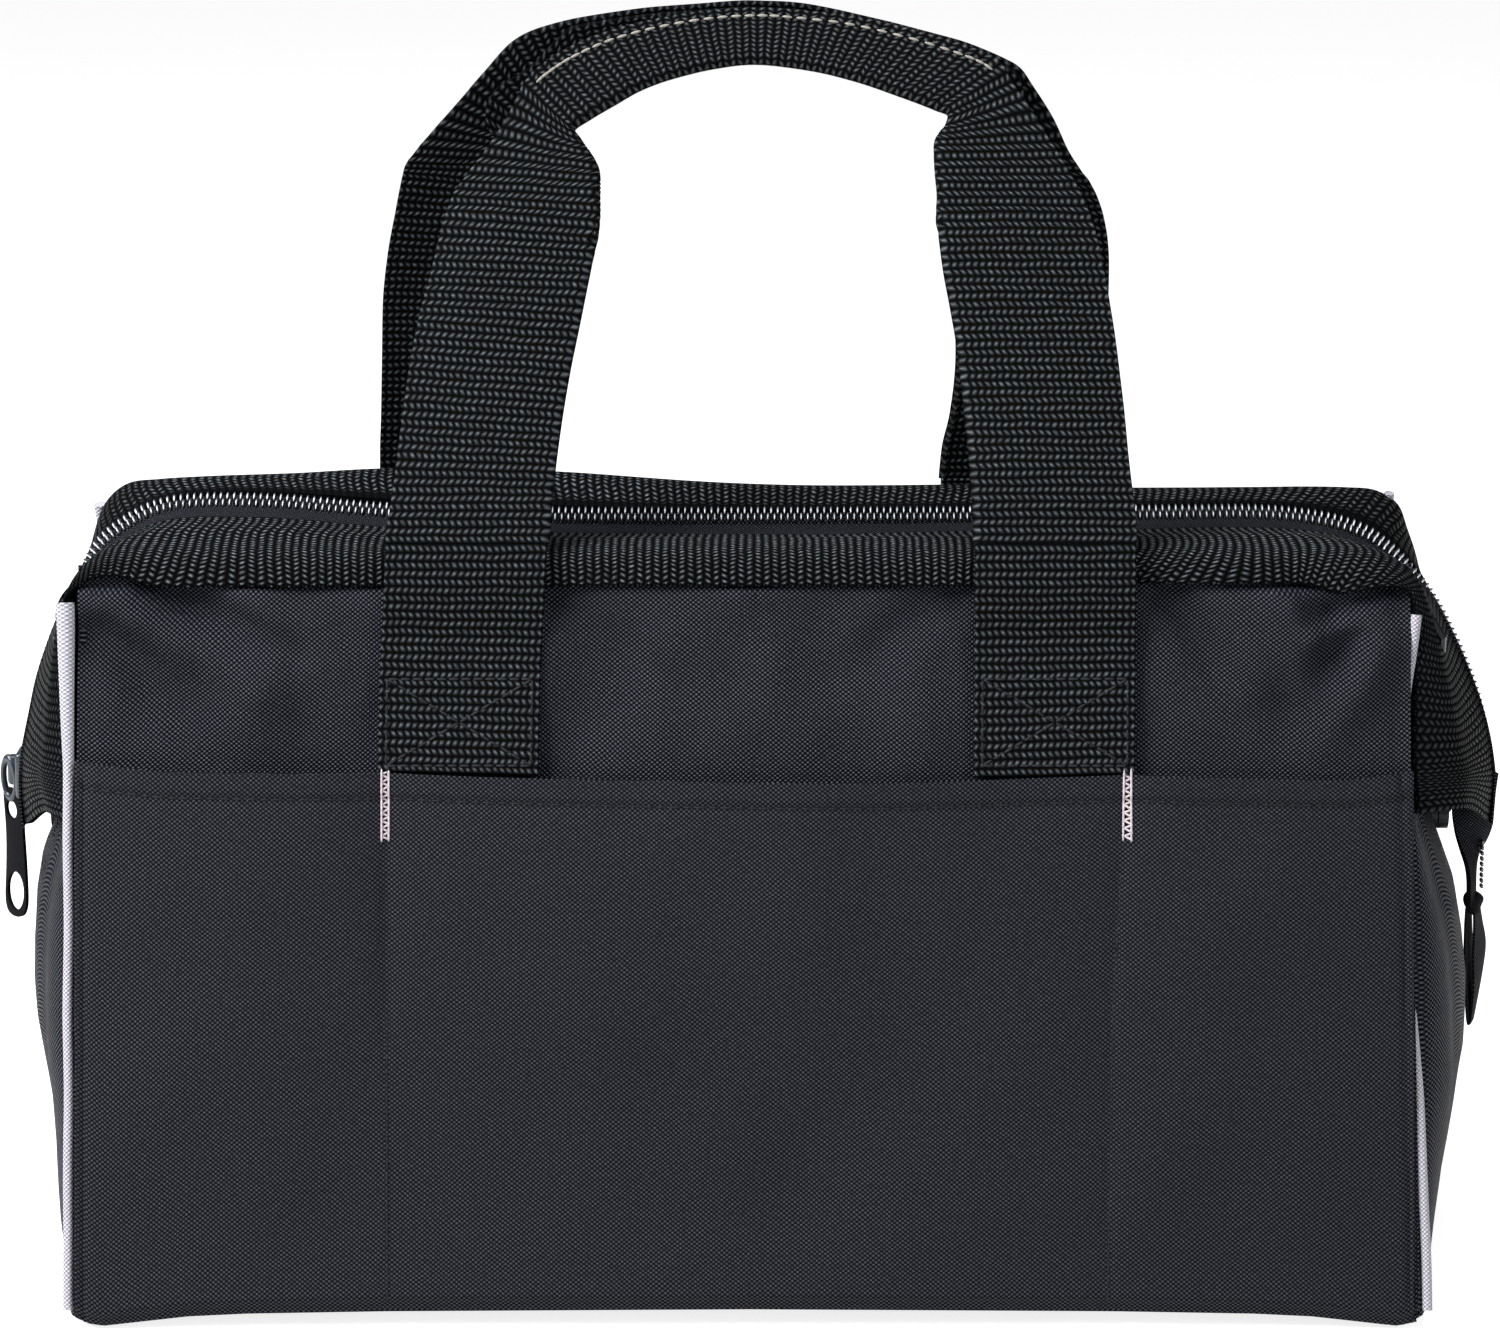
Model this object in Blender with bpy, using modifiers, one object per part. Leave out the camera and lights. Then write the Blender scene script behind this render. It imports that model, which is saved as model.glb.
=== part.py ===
"""Wide-mouth tool bag: polyester cloth walls, a zipped mouth on hinged wire frames, and webbing handles.

Metres, +Z up. The front faces -Y, and the origin is on the floor under the middle of the bag.
"""

import math

import bmesh
import bpy
from mathutils import Matrix, Vector

# Cloth body
BODY_WIDTH = 0.324
BASE_DEPTH = 0.156
MOUTH_DEPTH = 0.078
CLOTH = 0.0016
CLEARANCE = 0.0003
END_BULGE = 0.012
NOTCH_RISE = 0.008
WING_HEIGHT = 0.152
CORNER_DROP = 0.012
BOARD_THICKNESS = 0.0025
BOARD_MARGIN = 0.004
BULGE_SHARES = ((0.0, 0.35), (0.2, 0.8), (0.4, 1.0), (0.58, 0.92), (0.74, 0.5), (0.93, 0.38), (1.4, 0.3))

# Piping along the four upright seams
PIPING_RADIUS = 0.0020
PIPING_FOOT = 0.0012
PIPING_TOP = 0.142

# Front pocket in three compartments
POCKET_HEIGHT = 0.126
POCKET_SWELL = 0.0095
DIVIDER_SPREAD = 0.088
BARTACK_WIDTH = 0.0026
BARTACK_LENGTH = 0.0165
BARTACK_THICKNESS = 0.0006

# Webbing band round the mouth, with a flap down each end
MOUTH_OVERHANG = 0.016
MOUTH_TOP = 0.1785
FLAP_DROP = 0.002
BAND_EDGE = 0.013
RIDGE_RADIUS = 0.003
LIP_DEPTH = 0.0137
LIP_RISE = 0.0013
WEBBING = 0.0016
ARCH_SHARES = ((1.0, 0.0), (0.981, 0.56), (0.95, 0.735), (0.907, 0.89), (0.85, 0.985), (0.77, 1.0), (0.0, 1.0))
LIP_SHARES = ((0.0, 0.53), (0.3, 0.4), (0.6, 0.31), (0.93, 0.31), (0.995, 1.0), (1.0, 1.0))
ARCH_STEPS = 3

# Hinge of the two mouth frames
HINGE_HEIGHT = 0.104
FRAME_WIRE_RADIUS = 0.00125
EYE_RADIUS = 0.0046
RIVET_RADIUS = 0.002
RIVET_HEAD_RADIUS = 0.004
RIVET_HEAD = 0.001
RIVET_PLAY = 0.0003
WIRE_LEG_TOP = 0.145
EYE_NECK = 0.0025

# Zip
TAPE = 0.0008
TAPE_RISE = 0.0025
COIL_RADIUS = 0.0014
COIL_RISE = 0.022
COIL_GAP = 0.0004
ZIP_END_DROP = 0.002
ZIP_END_GAP = 0.0006
TAIL_HALF_WIDTH = 0.0052
TAIL_LENGTH = 0.046
TAIL_OFFSET = 0.0026

# Slider and its pull
SLIDER_RISE = 0.0125
SLIDER_LENGTH = 0.014
SLIDER_WIDTH = 0.011
SLIDER_PLATE = 0.0014
FLANGE = 0.0015
BRIDGE_RISE = 0.0044
BRIDGE_WIDTH = 0.0016
BRIDGE_LENGTH = 0.008
LINK_WIRE_RADIUS = 0.0005
LINK_WIDTH = 0.0062
LINK_DROP = 0.0105
PULL_LENGTH = 0.0285
PULL_WIDTH = 0.0082
PULL_NECK = 0.0046
PULL_THICKNESS = 0.0013
PULL_EYE_RADIUS = 0.0016
PULL_SLOT_WIDTH = 0.0044
PULL_SLOT_LENGTH = 0.0105
PULL_TURN = math.radians(44)

# Webbing handles
STRAP_WIDTH = 0.038
STRAP = 0.002
HANDLE_SPREAD = 0.0705
HANDLE_RISE = 0.1155
GRIP_THICKNESS = 0.0042
GRIP_OFFSET = 0.0052
REAR_GRIP_LIFT = 0.003
HANDLE_HEEL = 0.0010
HANDLE_STANDOFF = 0.0014
FRONT_PATH_SHARES = (
    (0.0, 1.0, 1.0), (0.3, 0.955, 1.0), (0.6, 0.87, 0.98), (0.78, 0.8, 0.92),
    (0.885, 0.71, 0.52), (0.955, 0.48, 0.45), (0.99, 0.22, 0.45), (1.0, 0.0, 0.45),
)
REAR_PATH_SHARES = (
    (0.0, 1.0, 1.0), (0.3, 1.0, 1.0), (0.6, 0.98, 1.0), (0.76, 0.92, 0.92),
    (0.885, 0.75, 0.52), (0.955, 0.5, 0.45), (0.99, 0.24, 0.45), (1.0, 0.0, 0.45),
)
HANDLE_STEPS = 4

# Meshing
ROUND_SIDES = 24
WIRE_RESOLUTION = 2
COIL_RESOLUTION = 1
OVERRUN = 0.002

# Derived places
HALF_WIDTH = BODY_WIDTH / 2
MOUTH_HALF_WIDTH = HALF_WIDTH + MOUTH_OVERHANG
NOTCH_HEIGHT = HINGE_HEIGHT + NOTCH_RISE
FLAP_FOOT = HINGE_HEIGHT - FLAP_DROP
TAPE_FOOT = HINGE_HEIGHT + TAPE_RISE
COIL_FOOT = HINGE_HEIGHT + COIL_RISE
ZIP_END_FOOT = HINGE_HEIGHT - ZIP_END_DROP
SLIDER_HEIGHT = HINGE_HEIGHT + SLIDER_RISE
LIP_FOOT = MOUTH_TOP - LIP_DEPTH
WALL_TOP = LIP_FOOT - LIP_RISE
WALL_LEAN = math.atan2((BASE_DEPTH - MOUTH_DEPTH) / 2, LIP_FOOT)
WALL_FOOT = CLOTH * math.sin(WALL_LEAN)
STRAP_FACE = MOUTH_DEPTH / 2 + CLEARANCE + STRAP / 2
HANDLE_HINGE = MOUTH_TOP + HANDLE_STANDOFF + HANDLE_HEEL
SIDES = {"front": -1, "rear": 1}
ENDS = {"left": -1, "right": 1}

# Colours, in linear values
BLACK_CLOTH = ((0.018, 0.019, 0.024), 0.85, 0.0)
BLACK_WEBBING = ((0.010, 0.011, 0.012), 0.8, 0.0)
GREY_PIPING = ((0.38, 0.35, 0.38), 0.8, 0.0)
PALE_THREAD = ((0.58, 0.52, 0.54), 0.7, 0.0)
BLACK_NYLON = ((0.012, 0.012, 0.013), 0.35, 0.0)
GREY_BOARD = ((0.10, 0.10, 0.10), 0.7, 0.0)
STEEL = ((0.55, 0.56, 0.58), 0.35, 1.0)
BLACK_METAL = ((0.022, 0.025, 0.031), 0.32, 0.4)


def start_collection(name):
    """An empty collection in the scene."""
    made = bpy.data.collections.new(name)
    bpy.context.scene.collection.children.link(made)
    return made


def clear_scene():
    for thing in list(bpy.data.objects):
        bpy.data.objects.remove(thing)


def finish_object(thing, finish):
    """Puts a part in the bag's collection with a material of its own."""
    colour, roughness, metallic = finish
    material = bpy.data.materials.new(thing.name + "_finish")
    material.use_nodes = True
    shader = material.node_tree.nodes["Principled BSDF"]
    shader.inputs["Base Color"].default_value = (*colour, 1.0)
    shader.inputs["Roughness"].default_value = roughness
    shader.inputs["Metallic"].default_value = metallic
    thing.data.materials.append(material)
    PARTS.objects.link(thing)
    return thing


def joint_empty(name, place, lean=0.0):
    """An empty on a joint's axis, which carries the pieces that move with it."""
    empty = bpy.data.objects.new(name, None)
    empty.location = place
    empty.rotation_euler = (0.0, lean, 0.0)
    PARTS.objects.link(empty)
    bpy.context.view_layer.update()
    return empty


def carry(piece, empty):
    """Parents a piece, modelled in world coordinates, to a joint's empty."""
    piece.parent = empty
    piece.matrix_parent_inverse = empty.matrix_world.inverted()
    return piece


def share_at(table, place):
    """Linear reading of a table of (place, value) pairs."""
    for (low, first), (high, second) in zip(table, table[1:]):
        if place <= high:
            return first + (second - first) * max(place - low, 0.0) / (high - low)
    return table[-1][1]


def smooth_line(points, steps):
    """Points along a Catmull-Rom curve through the given ones."""
    ends = [points[0], *points, points[-1]]
    line = []
    for a, b, c, d in zip(ends, ends[1:], ends[2:], ends[3:]):
        for step in range(steps):
            t = step / steps
            bend = (2 * a - 5 * b + 4 * c - d) * t**2 + (3 * b - a - 3 * c + d) * t**3
            line.append((2 * b + (c - a) * t + bend) / 2)
    line.append(points[-1])
    return line


# Sheets, tubes and blocks

def cloth_sheet(name, columns, rows, place, thickness, facing, finish, even=True):
    """A grid laid on place(u, v) as its outer face, with its thickness from Solidify."""
    shape = bmesh.new()
    bmesh.ops.create_grid(shape, x_segments=columns, y_segments=rows, size=1)
    for vertex in shape.verts:
        vertex.co = place((vertex.co.x + 1) / 2, (vertex.co.y + 1) / 2)
    shape.normal_update()
    middle = sum((face.normal * face.calc_area() for face in shape.faces), Vector())
    if middle.dot(facing) < 0:
        bmesh.ops.reverse_faces(shape, faces=shape.faces)
    mesh = bpy.data.meshes.new(name)
    shape.to_mesh(mesh)
    shape.free()
    thing = bpy.data.objects.new(name, mesh)
    wall = thing.modifiers.new("thickness", "SOLIDIFY")
    wall.thickness = thickness
    wall.use_even_offset = even
    return finish_object(thing, finish)


def tube(name, points, radius, resolution, finish):
    """A round rod or cord along the points."""
    curve = bpy.data.curves.new(name, "CURVE")
    curve.dimensions = "3D"
    curve.bevel_depth = radius
    curve.bevel_resolution = resolution
    curve.use_fill_caps = True
    spline = curve.splines.new("POLY")
    spline.points.add(len(points) - 1)
    for point, place in zip(spline.points, points):
        point.co = (*place, 1.0)
    return finish_object(bpy.data.objects.new(name, curve), finish)


def tube_as_mesh(thing):
    """The same tube as a closed mesh, so that it can be cut and joined."""
    bpy.context.view_layer.update()
    evaluated = thing.evaluated_get(bpy.context.evaluated_depsgraph_get())
    mesh = bpy.data.meshes.new_from_object(evaluated)
    shape = bmesh.new()
    shape.from_mesh(mesh)
    bmesh.ops.remove_doubles(shape, verts=shape.verts, dist=CLEARANCE / 10)
    shape.to_mesh(mesh)
    shape.free()
    name = thing.name
    world = thing.matrix_world.copy()
    bpy.data.objects.remove(thing)
    solid = bpy.data.objects.new(name, mesh)
    solid.matrix_world = world
    PARTS.objects.link(solid)
    return solid


def block_mesh(name, low, high):
    """A box between two corners."""
    shape = bmesh.new()
    size = Vector(high) - Vector(low)
    centre = (Vector(high) + Vector(low)) / 2
    bmesh.ops.create_cube(shape, size=1, matrix=Matrix.Translation(centre) @ Matrix.Diagonal((*size, 1)))
    mesh = bpy.data.meshes.new(name)
    shape.to_mesh(mesh)
    shape.free()
    return mesh


def block(name, low, high, finish, edge=0.0):
    thing = bpy.data.objects.new(name, block_mesh(name, low, high))
    if edge > 0:
        rounding = thing.modifiers.new("edges", "BEVEL")
        rounding.width = edge
        rounding.segments = 1
    return finish_object(thing, finish)


def cutter_block(name, low, high):
    return hide_cutter(bpy.data.objects.new(name, block_mesh(name, low, high)))


def cutter_cylinder(name, centre, radius, length, turn):
    """A round cutter or core about a horizontal axis."""
    shape = bmesh.new()
    bmesh.ops.create_cone(
        shape, cap_ends=True, segments=ROUND_SIDES, radius1=radius, radius2=radius, depth=length,
        matrix=Matrix.Translation(centre) @ turn,
    )
    mesh = bpy.data.meshes.new(name)
    shape.to_mesh(mesh)
    shape.free()
    return hide_cutter(bpy.data.objects.new(name, mesh))


def hide_cutter(thing):
    thing.hide_render = True
    thing.display_type = "WIRE"
    CUTTERS.objects.link(thing)
    return thing


def combine(thing, other, operation):
    change = thing.modifiers.new(other.name, "BOOLEAN")
    change.operation = operation
    change.object = other
    return other


ACROSS_X = Matrix.Rotation(math.pi / 2, 4, "Y")


def strap_loft(name, stations, finish):
    """A ribbon whose width and thickness change: stations of (centre, across, normal, width, thickness)."""
    shape = bmesh.new()
    rings = []
    for centre, across, normal, width, thickness in stations:
        a = across * width / 2
        n = normal * thickness / 2
        rings.append([shape.verts.new(centre + corner) for corner in (a + n, n - a, -a - n, a - n)])
    for first, second in zip(rings, rings[1:]):
        for k in range(4):
            shape.faces.new((first[k], first[k - 3], second[k - 3], second[k]))
    shape.faces.new(rings[0])
    shape.faces.new(rings[-1])
    bmesh.ops.recalc_face_normals(shape, faces=shape.faces)
    mesh = bpy.data.meshes.new(name)
    shape.to_mesh(mesh)
    shape.free()
    return finish_object(bpy.data.objects.new(name, mesh), finish)


# Lines that several pieces follow

def wall_depth(height):
    """Distance from the middle plane to a long wall's outer face at a height."""
    return BASE_DEPTH / 2 - height * math.tan(WALL_LEAN)


def end_wall_x(across_share, height):
    """An end wall's outer face: sewn flat at its seams and bulging between them."""
    bulge = END_BULGE * share_at(BULGE_SHARES, height / NOTCH_HEIGHT)
    return HALF_WIDTH + bulge * math.cos(across_share * math.pi / 2)


def arch_half():
    rise = MOUTH_TOP - FLAP_FOOT
    return [Vector((MOUTH_HALF_WIDTH * x, 0.0, FLAP_FOOT + rise * z)) for x, z in ARCH_SHARES]


def flap_point(height):
    """The point at a height on the straight lower stretch of a flap, at the right end."""
    foot, knee = arch_half()[:2]
    return foot.lerp(knee, (height - foot.z) / (knee.z - foot.z))


def flap_lean():
    foot, knee = arch_half()[:2]
    return math.atan2(foot.x - knee.x, knee.z - foot.z)


def mouth_line(foot_height):
    """(point, inward) pairs on the mouth's outer line, from the left foot over the top to the right one."""
    half = smooth_line(arch_half(), ARCH_STEPS)[ARCH_STEPS:]
    right = [flap_point(foot_height), *half]
    line = [Vector((-p.x, 0.0, p.z)) for p in right] + list(reversed(right[:-1]))
    pairs = []
    for k, point in enumerate(line):
        along = line[min(k + 1, len(line) - 1)] - line[max(k - 1, 0)]
        pairs.append((point, Vector((along.z, 0.0, -along.x)).normalized()))
    return pairs


def lip_depth(point):
    return LIP_DEPTH * share_at(LIP_SHARES, (point.z - FLAP_FOOT) / (MOUTH_TOP - FLAP_FOOT))


# Cloth body

def make_base():
    inner_x = HALF_WIDTH - CLOTH - CLEARANCE
    inner_y = wall_depth(CLOTH) - CLOTH - CLEARANCE
    block("base_panel", (-inner_x, -inner_y, 0.0), (inner_x, inner_y, CLOTH), BLACK_CLOTH)
    board_x = inner_x - BOARD_MARGIN
    board_y = inner_y - BOARD_MARGIN
    floor = CLOTH + CLEARANCE
    block("base_board", (-board_x, -board_y, floor), (board_x, board_y, floor + BOARD_THICKNESS), GREY_BOARD)


def make_long_wall(side):
    """Front or rear wall, sewn to piping at both ends and to the band above."""
    reach = HALF_WIDTH - PIPING_RADIUS - CLEARANCE
    across_shares = (-1.0, -0.9, -0.5, 0.0, 0.5, 0.9, 1.0)
    columns = len(across_shares) - 1

    def place(u, v):
        across = across_shares[round(u * columns)]
        top = WALL_TOP - (CORNER_DROP if abs(across) == 1.0 else 0.0)
        height = WALL_FOOT + (top - WALL_FOOT) * v
        return Vector((reach * across, SIDES[side] * wall_depth(height), height))

    facing = Vector((0, SIDES[side], 0))
    cloth_sheet(side + "_panel", columns, 4, place, CLOTH, facing, BLACK_CLOTH)


def make_end_wall(end):
    """End wall with a notch at its top, where the flap closes the mouth's end."""
    neck = wall_depth(NOTCH_HEIGHT) - PIPING_RADIUS - CLEARANCE
    wing = 1 - (MOUTH_DEPTH / 2 + CLEARANCE) / neck
    across_shares = (-1.0, -1 + wing / 2, -1 + wing, -0.5, -0.25, 0.0, 0.25, 0.5, 1 - wing, 1 - wing / 2, 1.0)
    columns = len(across_shares) - 1

    def place(u, v):
        across = across_shares[round(u * columns)]
        over = max(abs(across) - (1 - wing), 0.0) / wing
        height = (NOTCH_HEIGHT + (WING_HEIGHT - NOTCH_HEIGHT) * over) * v
        half = wall_depth(height) - PIPING_RADIUS - CLEARANCE
        x = end_wall_x(across, height)
        return Vector((ENDS[end] * x, half * across, height))

    facing = Vector((ENDS[end], 0, 0))
    wall = cloth_sheet(end + "_end_panel", columns, 10, place, CLOTH, facing, BLACK_CLOTH)
    hole = cutter_cylinder(
        end + "_rivet_hole", (ENDS[end] * HALF_WIDTH, 0, HINGE_HEIGHT), RIVET_RADIUS + RIVET_PLAY,
        4 * END_BULGE, ACROSS_X,
    )
    combine(wall, hole, "DIFFERENCE")


def make_piping(side, end):
    places = []
    for height in (PIPING_FOOT, POCKET_HEIGHT, PIPING_TOP):
        places.append((ENDS[end] * HALF_WIDTH, SIDES[side] * wall_depth(height), height))
    tube("_".join((side, end, "piping")), places, PIPING_RADIUS, WIRE_RESOLUTION, GREY_PIPING)


def make_pocket():
    """Outer pocket, sewn down at its sides and at two dividers, and open along the top."""
    reach = HALF_WIDTH - PIPING_RADIUS - CLEARANCE
    seams = (-reach, -DIVIDER_SPREAD, DIVIDER_SPREAD, reach)
    flat = BARTACK_WIDTH / 2 + CLEARANCE
    steps = 8
    places = []
    for left, right in zip(seams, seams[1:]):
        for k in range(steps + 1):
            t = k / steps
            swell = POCKET_SWELL * math.sin(math.pi * t) ** 0.6
            places.append((left + flat + (right - left - 2 * flat) * t, swell))
    columns = len(places) - 1

    def place(u, v):
        x, swell = places[round(u * columns)]
        height = WALL_FOOT + (POCKET_HEIGHT - WALL_FOOT) * v
        return Vector((x, -wall_depth(height) - CLEARANCE - CLOTH - swell * v, height))

    cloth_sheet("front_pocket", columns, 6, place, CLOTH, Vector((0, -1, 0)), BLACK_CLOTH)


def make_bartack(end):
    """Zigzag stitching that strengthens the top of a divider seam."""
    middle = ENDS[end] * DIVIDER_SPREAD

    def place(u, v):
        height = POCKET_HEIGHT - BARTACK_LENGTH * v
        depth = wall_depth(height) + 2 * CLEARANCE + CLOTH + BARTACK_THICKNESS
        return Vector((middle + BARTACK_WIDTH * (u - 1 / 2), -depth, height))

    cloth_sheet(end + "_bartack", 1, 1, place, BARTACK_THICKNESS, Vector((0, -1, 0)), PALE_THREAD)


# Mouth: bands, frames and zip

def make_band(side):
    """Webbing folded over the mouth's edge: a top face, a rounded ridge and a lip."""
    pairs = mouth_line(FLAP_FOOT)
    ridge = MOUTH_DEPTH / 2
    profile = ((BAND_EDGE, 0), (ridge - RIDGE_RADIUS, 0), (ridge - RIDGE_RADIUS / 4, 1 / 4), (ridge, 1), (ridge, None))
    columns = len(profile) - 1
    rows = len(pairs) - 1

    def place(u, v):
        depth, drop_share = profile[round(u * columns)]
        point, inward = pairs[round(v * rows)]
        drop = lip_depth(point) if drop_share is None else RIDGE_RADIUS * drop_share
        return point + inward * drop + Vector((0, SIDES[side] * depth, 0))

    return cloth_sheet(side + "_band", columns, rows, place, WEBBING, Vector((0, 0, 1)), BLACK_WEBBING, even=False)


def frame_eye_x(side):
    """Middle of a frame's eye on the rivet: the front frame's lies against the end wall."""
    first = end_wall_x(0.0, HINGE_HEIGHT) + 2 * CLEARANCE + FRAME_WIRE_RADIUS
    step = 2 * FRAME_WIRE_RADIUS + CLEARANCE
    return first + (step if side == "rear" else 0.0)


def make_frame(side):
    """Spring-steel wire inside the band, with an eye on the rivet at each end."""
    sign = SIDES[side]
    inset = WEBBING + CLEARANCE + FRAME_WIRE_RADIUS
    drop = inset + RIDGE_RADIUS / 2
    lane = sign * (MOUTH_DEPTH / 2 - inset)
    eye_x = frame_eye_x(side)
    upper = [p + n * drop for p, n in mouth_line(FLAP_FOOT)[1::ARCH_STEPS] if p.z >= WIRE_LEG_TOP]
    upper = [Vector((p.x, lane, p.z)) for p in upper]
    right = Vector((eye_x, sign * EYE_NECK, HINGE_HEIGHT + EYE_NECK))
    left = Vector((-right.x, right.y, right.z))
    wire = tube_as_mesh(tube(side + "_frame_wire", [left, *upper, right], FRAME_WIRE_RADIUS, WIRE_RESOLUTION, STEEL))
    for end in ENDS:
        centre = (ENDS[end] * eye_x, 0, HINGE_HEIGHT)
        name = "_".join((side, end))
        eye = cutter_cylinder(name + "_eye", centre, EYE_RADIUS, 2 * FRAME_WIRE_RADIUS, ACROSS_X)
        hole = cutter_cylinder(name + "_eye_hole", centre, RIVET_RADIUS + RIVET_PLAY, 4 * EYE_RADIUS, ACROSS_X)
        combine(wire, eye, "UNION")
        combine(wire, hole, "DIFFERENCE")
    return wire


def make_rivet(end):
    """Rivet through the end wall and both frame eyes, turned from one profile."""
    wall = end_wall_x(0.0, HINGE_HEIGHT)
    inner = wall - CLOTH - CLEARANCE
    stack = frame_eye_x("rear") + FRAME_WIRE_RADIUS + CLEARANCE
    outer = flap_point(HINGE_HEIGHT).x - COIL_RADIUS * 3 / 2 - 2 * CLEARANCE
    outline = (
        (0, outer), (RIVET_HEAD_RADIUS, outer), (RIVET_HEAD_RADIUS, stack), (RIVET_RADIUS, stack),
        (RIVET_RADIUS, inner), (RIVET_HEAD_RADIUS, inner), (RIVET_HEAD_RADIUS, inner - RIVET_HEAD),
        (0, inner - RIVET_HEAD),
    )
    mesh = bpy.data.meshes.new(end + "_hinge_rivet")
    edges = [(k, k + 1) for k in range(len(outline) - 1)]
    mesh.from_pydata([(radius, 0, place) for radius, place in outline], edges, [])
    thing = bpy.data.objects.new(mesh.name, mesh)
    turn = thing.modifiers.new("turn", "SCREW")
    turn.steps = ROUND_SIDES
    turn.render_steps = ROUND_SIDES
    turn.use_merge_vertices = True
    turn.merge_threshold = CLEARANCE / 10
    thing.location = (0, 0, HINGE_HEIGHT)
    thing.rotation_euler = (0, ENDS[end] * math.pi / 2, 0)
    finish_object(thing, STEEL)


def make_zip_half(side):
    """One side of the zip: its tape beside the band, and its coil along the middle."""
    sign = SIDES[side]
    pairs = mouth_line(TAPE_FOOT)
    rows = len(pairs) - 1
    edges = (COIL_GAP / 2 + 2 * COIL_RADIUS + CLEARANCE, BAND_EDGE - CLEARANCE)

    def place(u, v):
        point, inward = pairs[round(v * rows)]
        return point + inward * CLEARANCE + Vector((0, sign * edges[round(u)], 0))

    tape = cloth_sheet(side + "_zip_tape", 1, rows, place, TAPE, Vector((0, 0, 1)), BLACK_CLOTH)
    middle = Vector((0, sign * (COIL_GAP / 2 + COIL_RADIUS), 0))
    line = [p + n * COIL_RADIUS / 2 + middle for p, n in mouth_line(COIL_FOOT)]
    coil = tube(side + "_zip_coil", line, COIL_RADIUS, COIL_RESOLUTION, BLACK_NYLON)
    return [tape, coil]


def zip_end_stations(end):
    """The zip's sewn end inside a flap's foot, as ribbon stations from its top down."""
    lean = flap_lean()
    outward = Vector((ENDS[end] * math.cos(lean), 0, math.sin(lean)))
    thickness = 2 * COIL_RADIUS
    width = 2 * (COIL_GAP / 2 + 2 * COIL_RADIUS)
    stations = []
    for height in (COIL_FOOT - ZIP_END_GAP, ZIP_END_FOOT):
        place = flap_point(height)
        place.x *= ENDS[end]
        centre = place - outward * COIL_RADIUS / 2
        stations.append((centre, Vector((0, 1, 0)), outward, width, thickness))
    return stations


def make_zip_end():
    strap_loft("left_zip_end", zip_end_stations("left"), BLACK_NYLON)


def make_zip_tail():
    """The zip's spare length at the right end: it hangs below the flap and turns edge-on to the front."""
    stations = zip_end_stations("right")
    centre, across, normal, width, thickness = stations[-1]
    turns = (0.25, 0.55, 0.8, 0.9, 1.0, 1.0)
    for k, turn_share in enumerate(turns):
        share = (k + 1) / len(turns)
        out = TAIL_OFFSET * math.sin(math.pi * share)
        turn = math.radians(60) * turn_share
        face = Vector((math.cos(turn), -math.sin(turn), 0))
        side = Vector((math.sin(turn), math.cos(turn), 0))
        place = centre + Vector((out, 0, -TAIL_LENGTH * share))
        tail_width = width + (2 * TAIL_HALF_WIDTH - width) * math.sin(math.pi * share) ** 2
        stations.append((place, side, face, tail_width, thickness * (1 - share / 3)))
    strap_loft("right_zip_tail", stations, BLACK_NYLON)


# Straps and handles

def make_strap_end(side, end):
    """The sewn foot of a handle strap, flat on the wall above the pocket."""
    sign = SIDES[side]
    middle = ENDS[end] * HANDLE_SPREAD

    def place(u, v):
        height = POCKET_HEIGHT + CLEARANCE + (WALL_TOP - POCKET_HEIGHT - CLEARANCE) * v
        return Vector((middle + STRAP_WIDTH * (u - 1 / 2), sign * (wall_depth(height) + CLEARANCE + STRAP), height))

    cloth_sheet("_".join((side, end, "strap_end")), 1, 1, place, STRAP, Vector((0, sign, 0)), BLACK_WEBBING)


def make_strap_wrap(side, end):
    """The strap where it crosses the band's lip."""
    middle = ENDS[end] * HANDLE_SPREAD
    near = MOUTH_DEPTH / 2 + CLEARANCE
    faces = sorted((SIDES[side] * near, SIDES[side] * (near + STRAP)))
    top = HANDLE_HINGE - HANDLE_HEEL - HANDLE_STANDOFF / 2
    low = (middle - STRAP_WIDTH / 2, faces[0], LIP_FOOT + CLEARANCE)
    high = (middle + STRAP_WIDTH / 2, faces[1], top - CLEARANCE)
    return block("_".join((side, end, "strap_wrap")), low, high, BLACK_WEBBING)


def handle_line(side, shares):
    """(centre, width share) pairs along a whole handle, from its left foot to its right one."""
    sign = SIDES[side]
    rise = HANDLE_RISE + (REAR_GRIP_LIFT if side == "rear" else 0.0)
    half = []
    for height_share, spread_share, width_share in shares:
        depth = STRAP_FACE + (GRIP_OFFSET - STRAP_FACE) * height_share
        place = (-HANDLE_SPREAD * spread_share, sign * depth, HANDLE_HINGE + rise * height_share, width_share)
        half.append(Vector(place))
    whole = half + [Vector((-p[0], p[1], p[2], p[3])) for p in reversed(half[:-1])]
    return smooth_line(whole, HANDLE_STEPS)


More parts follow.
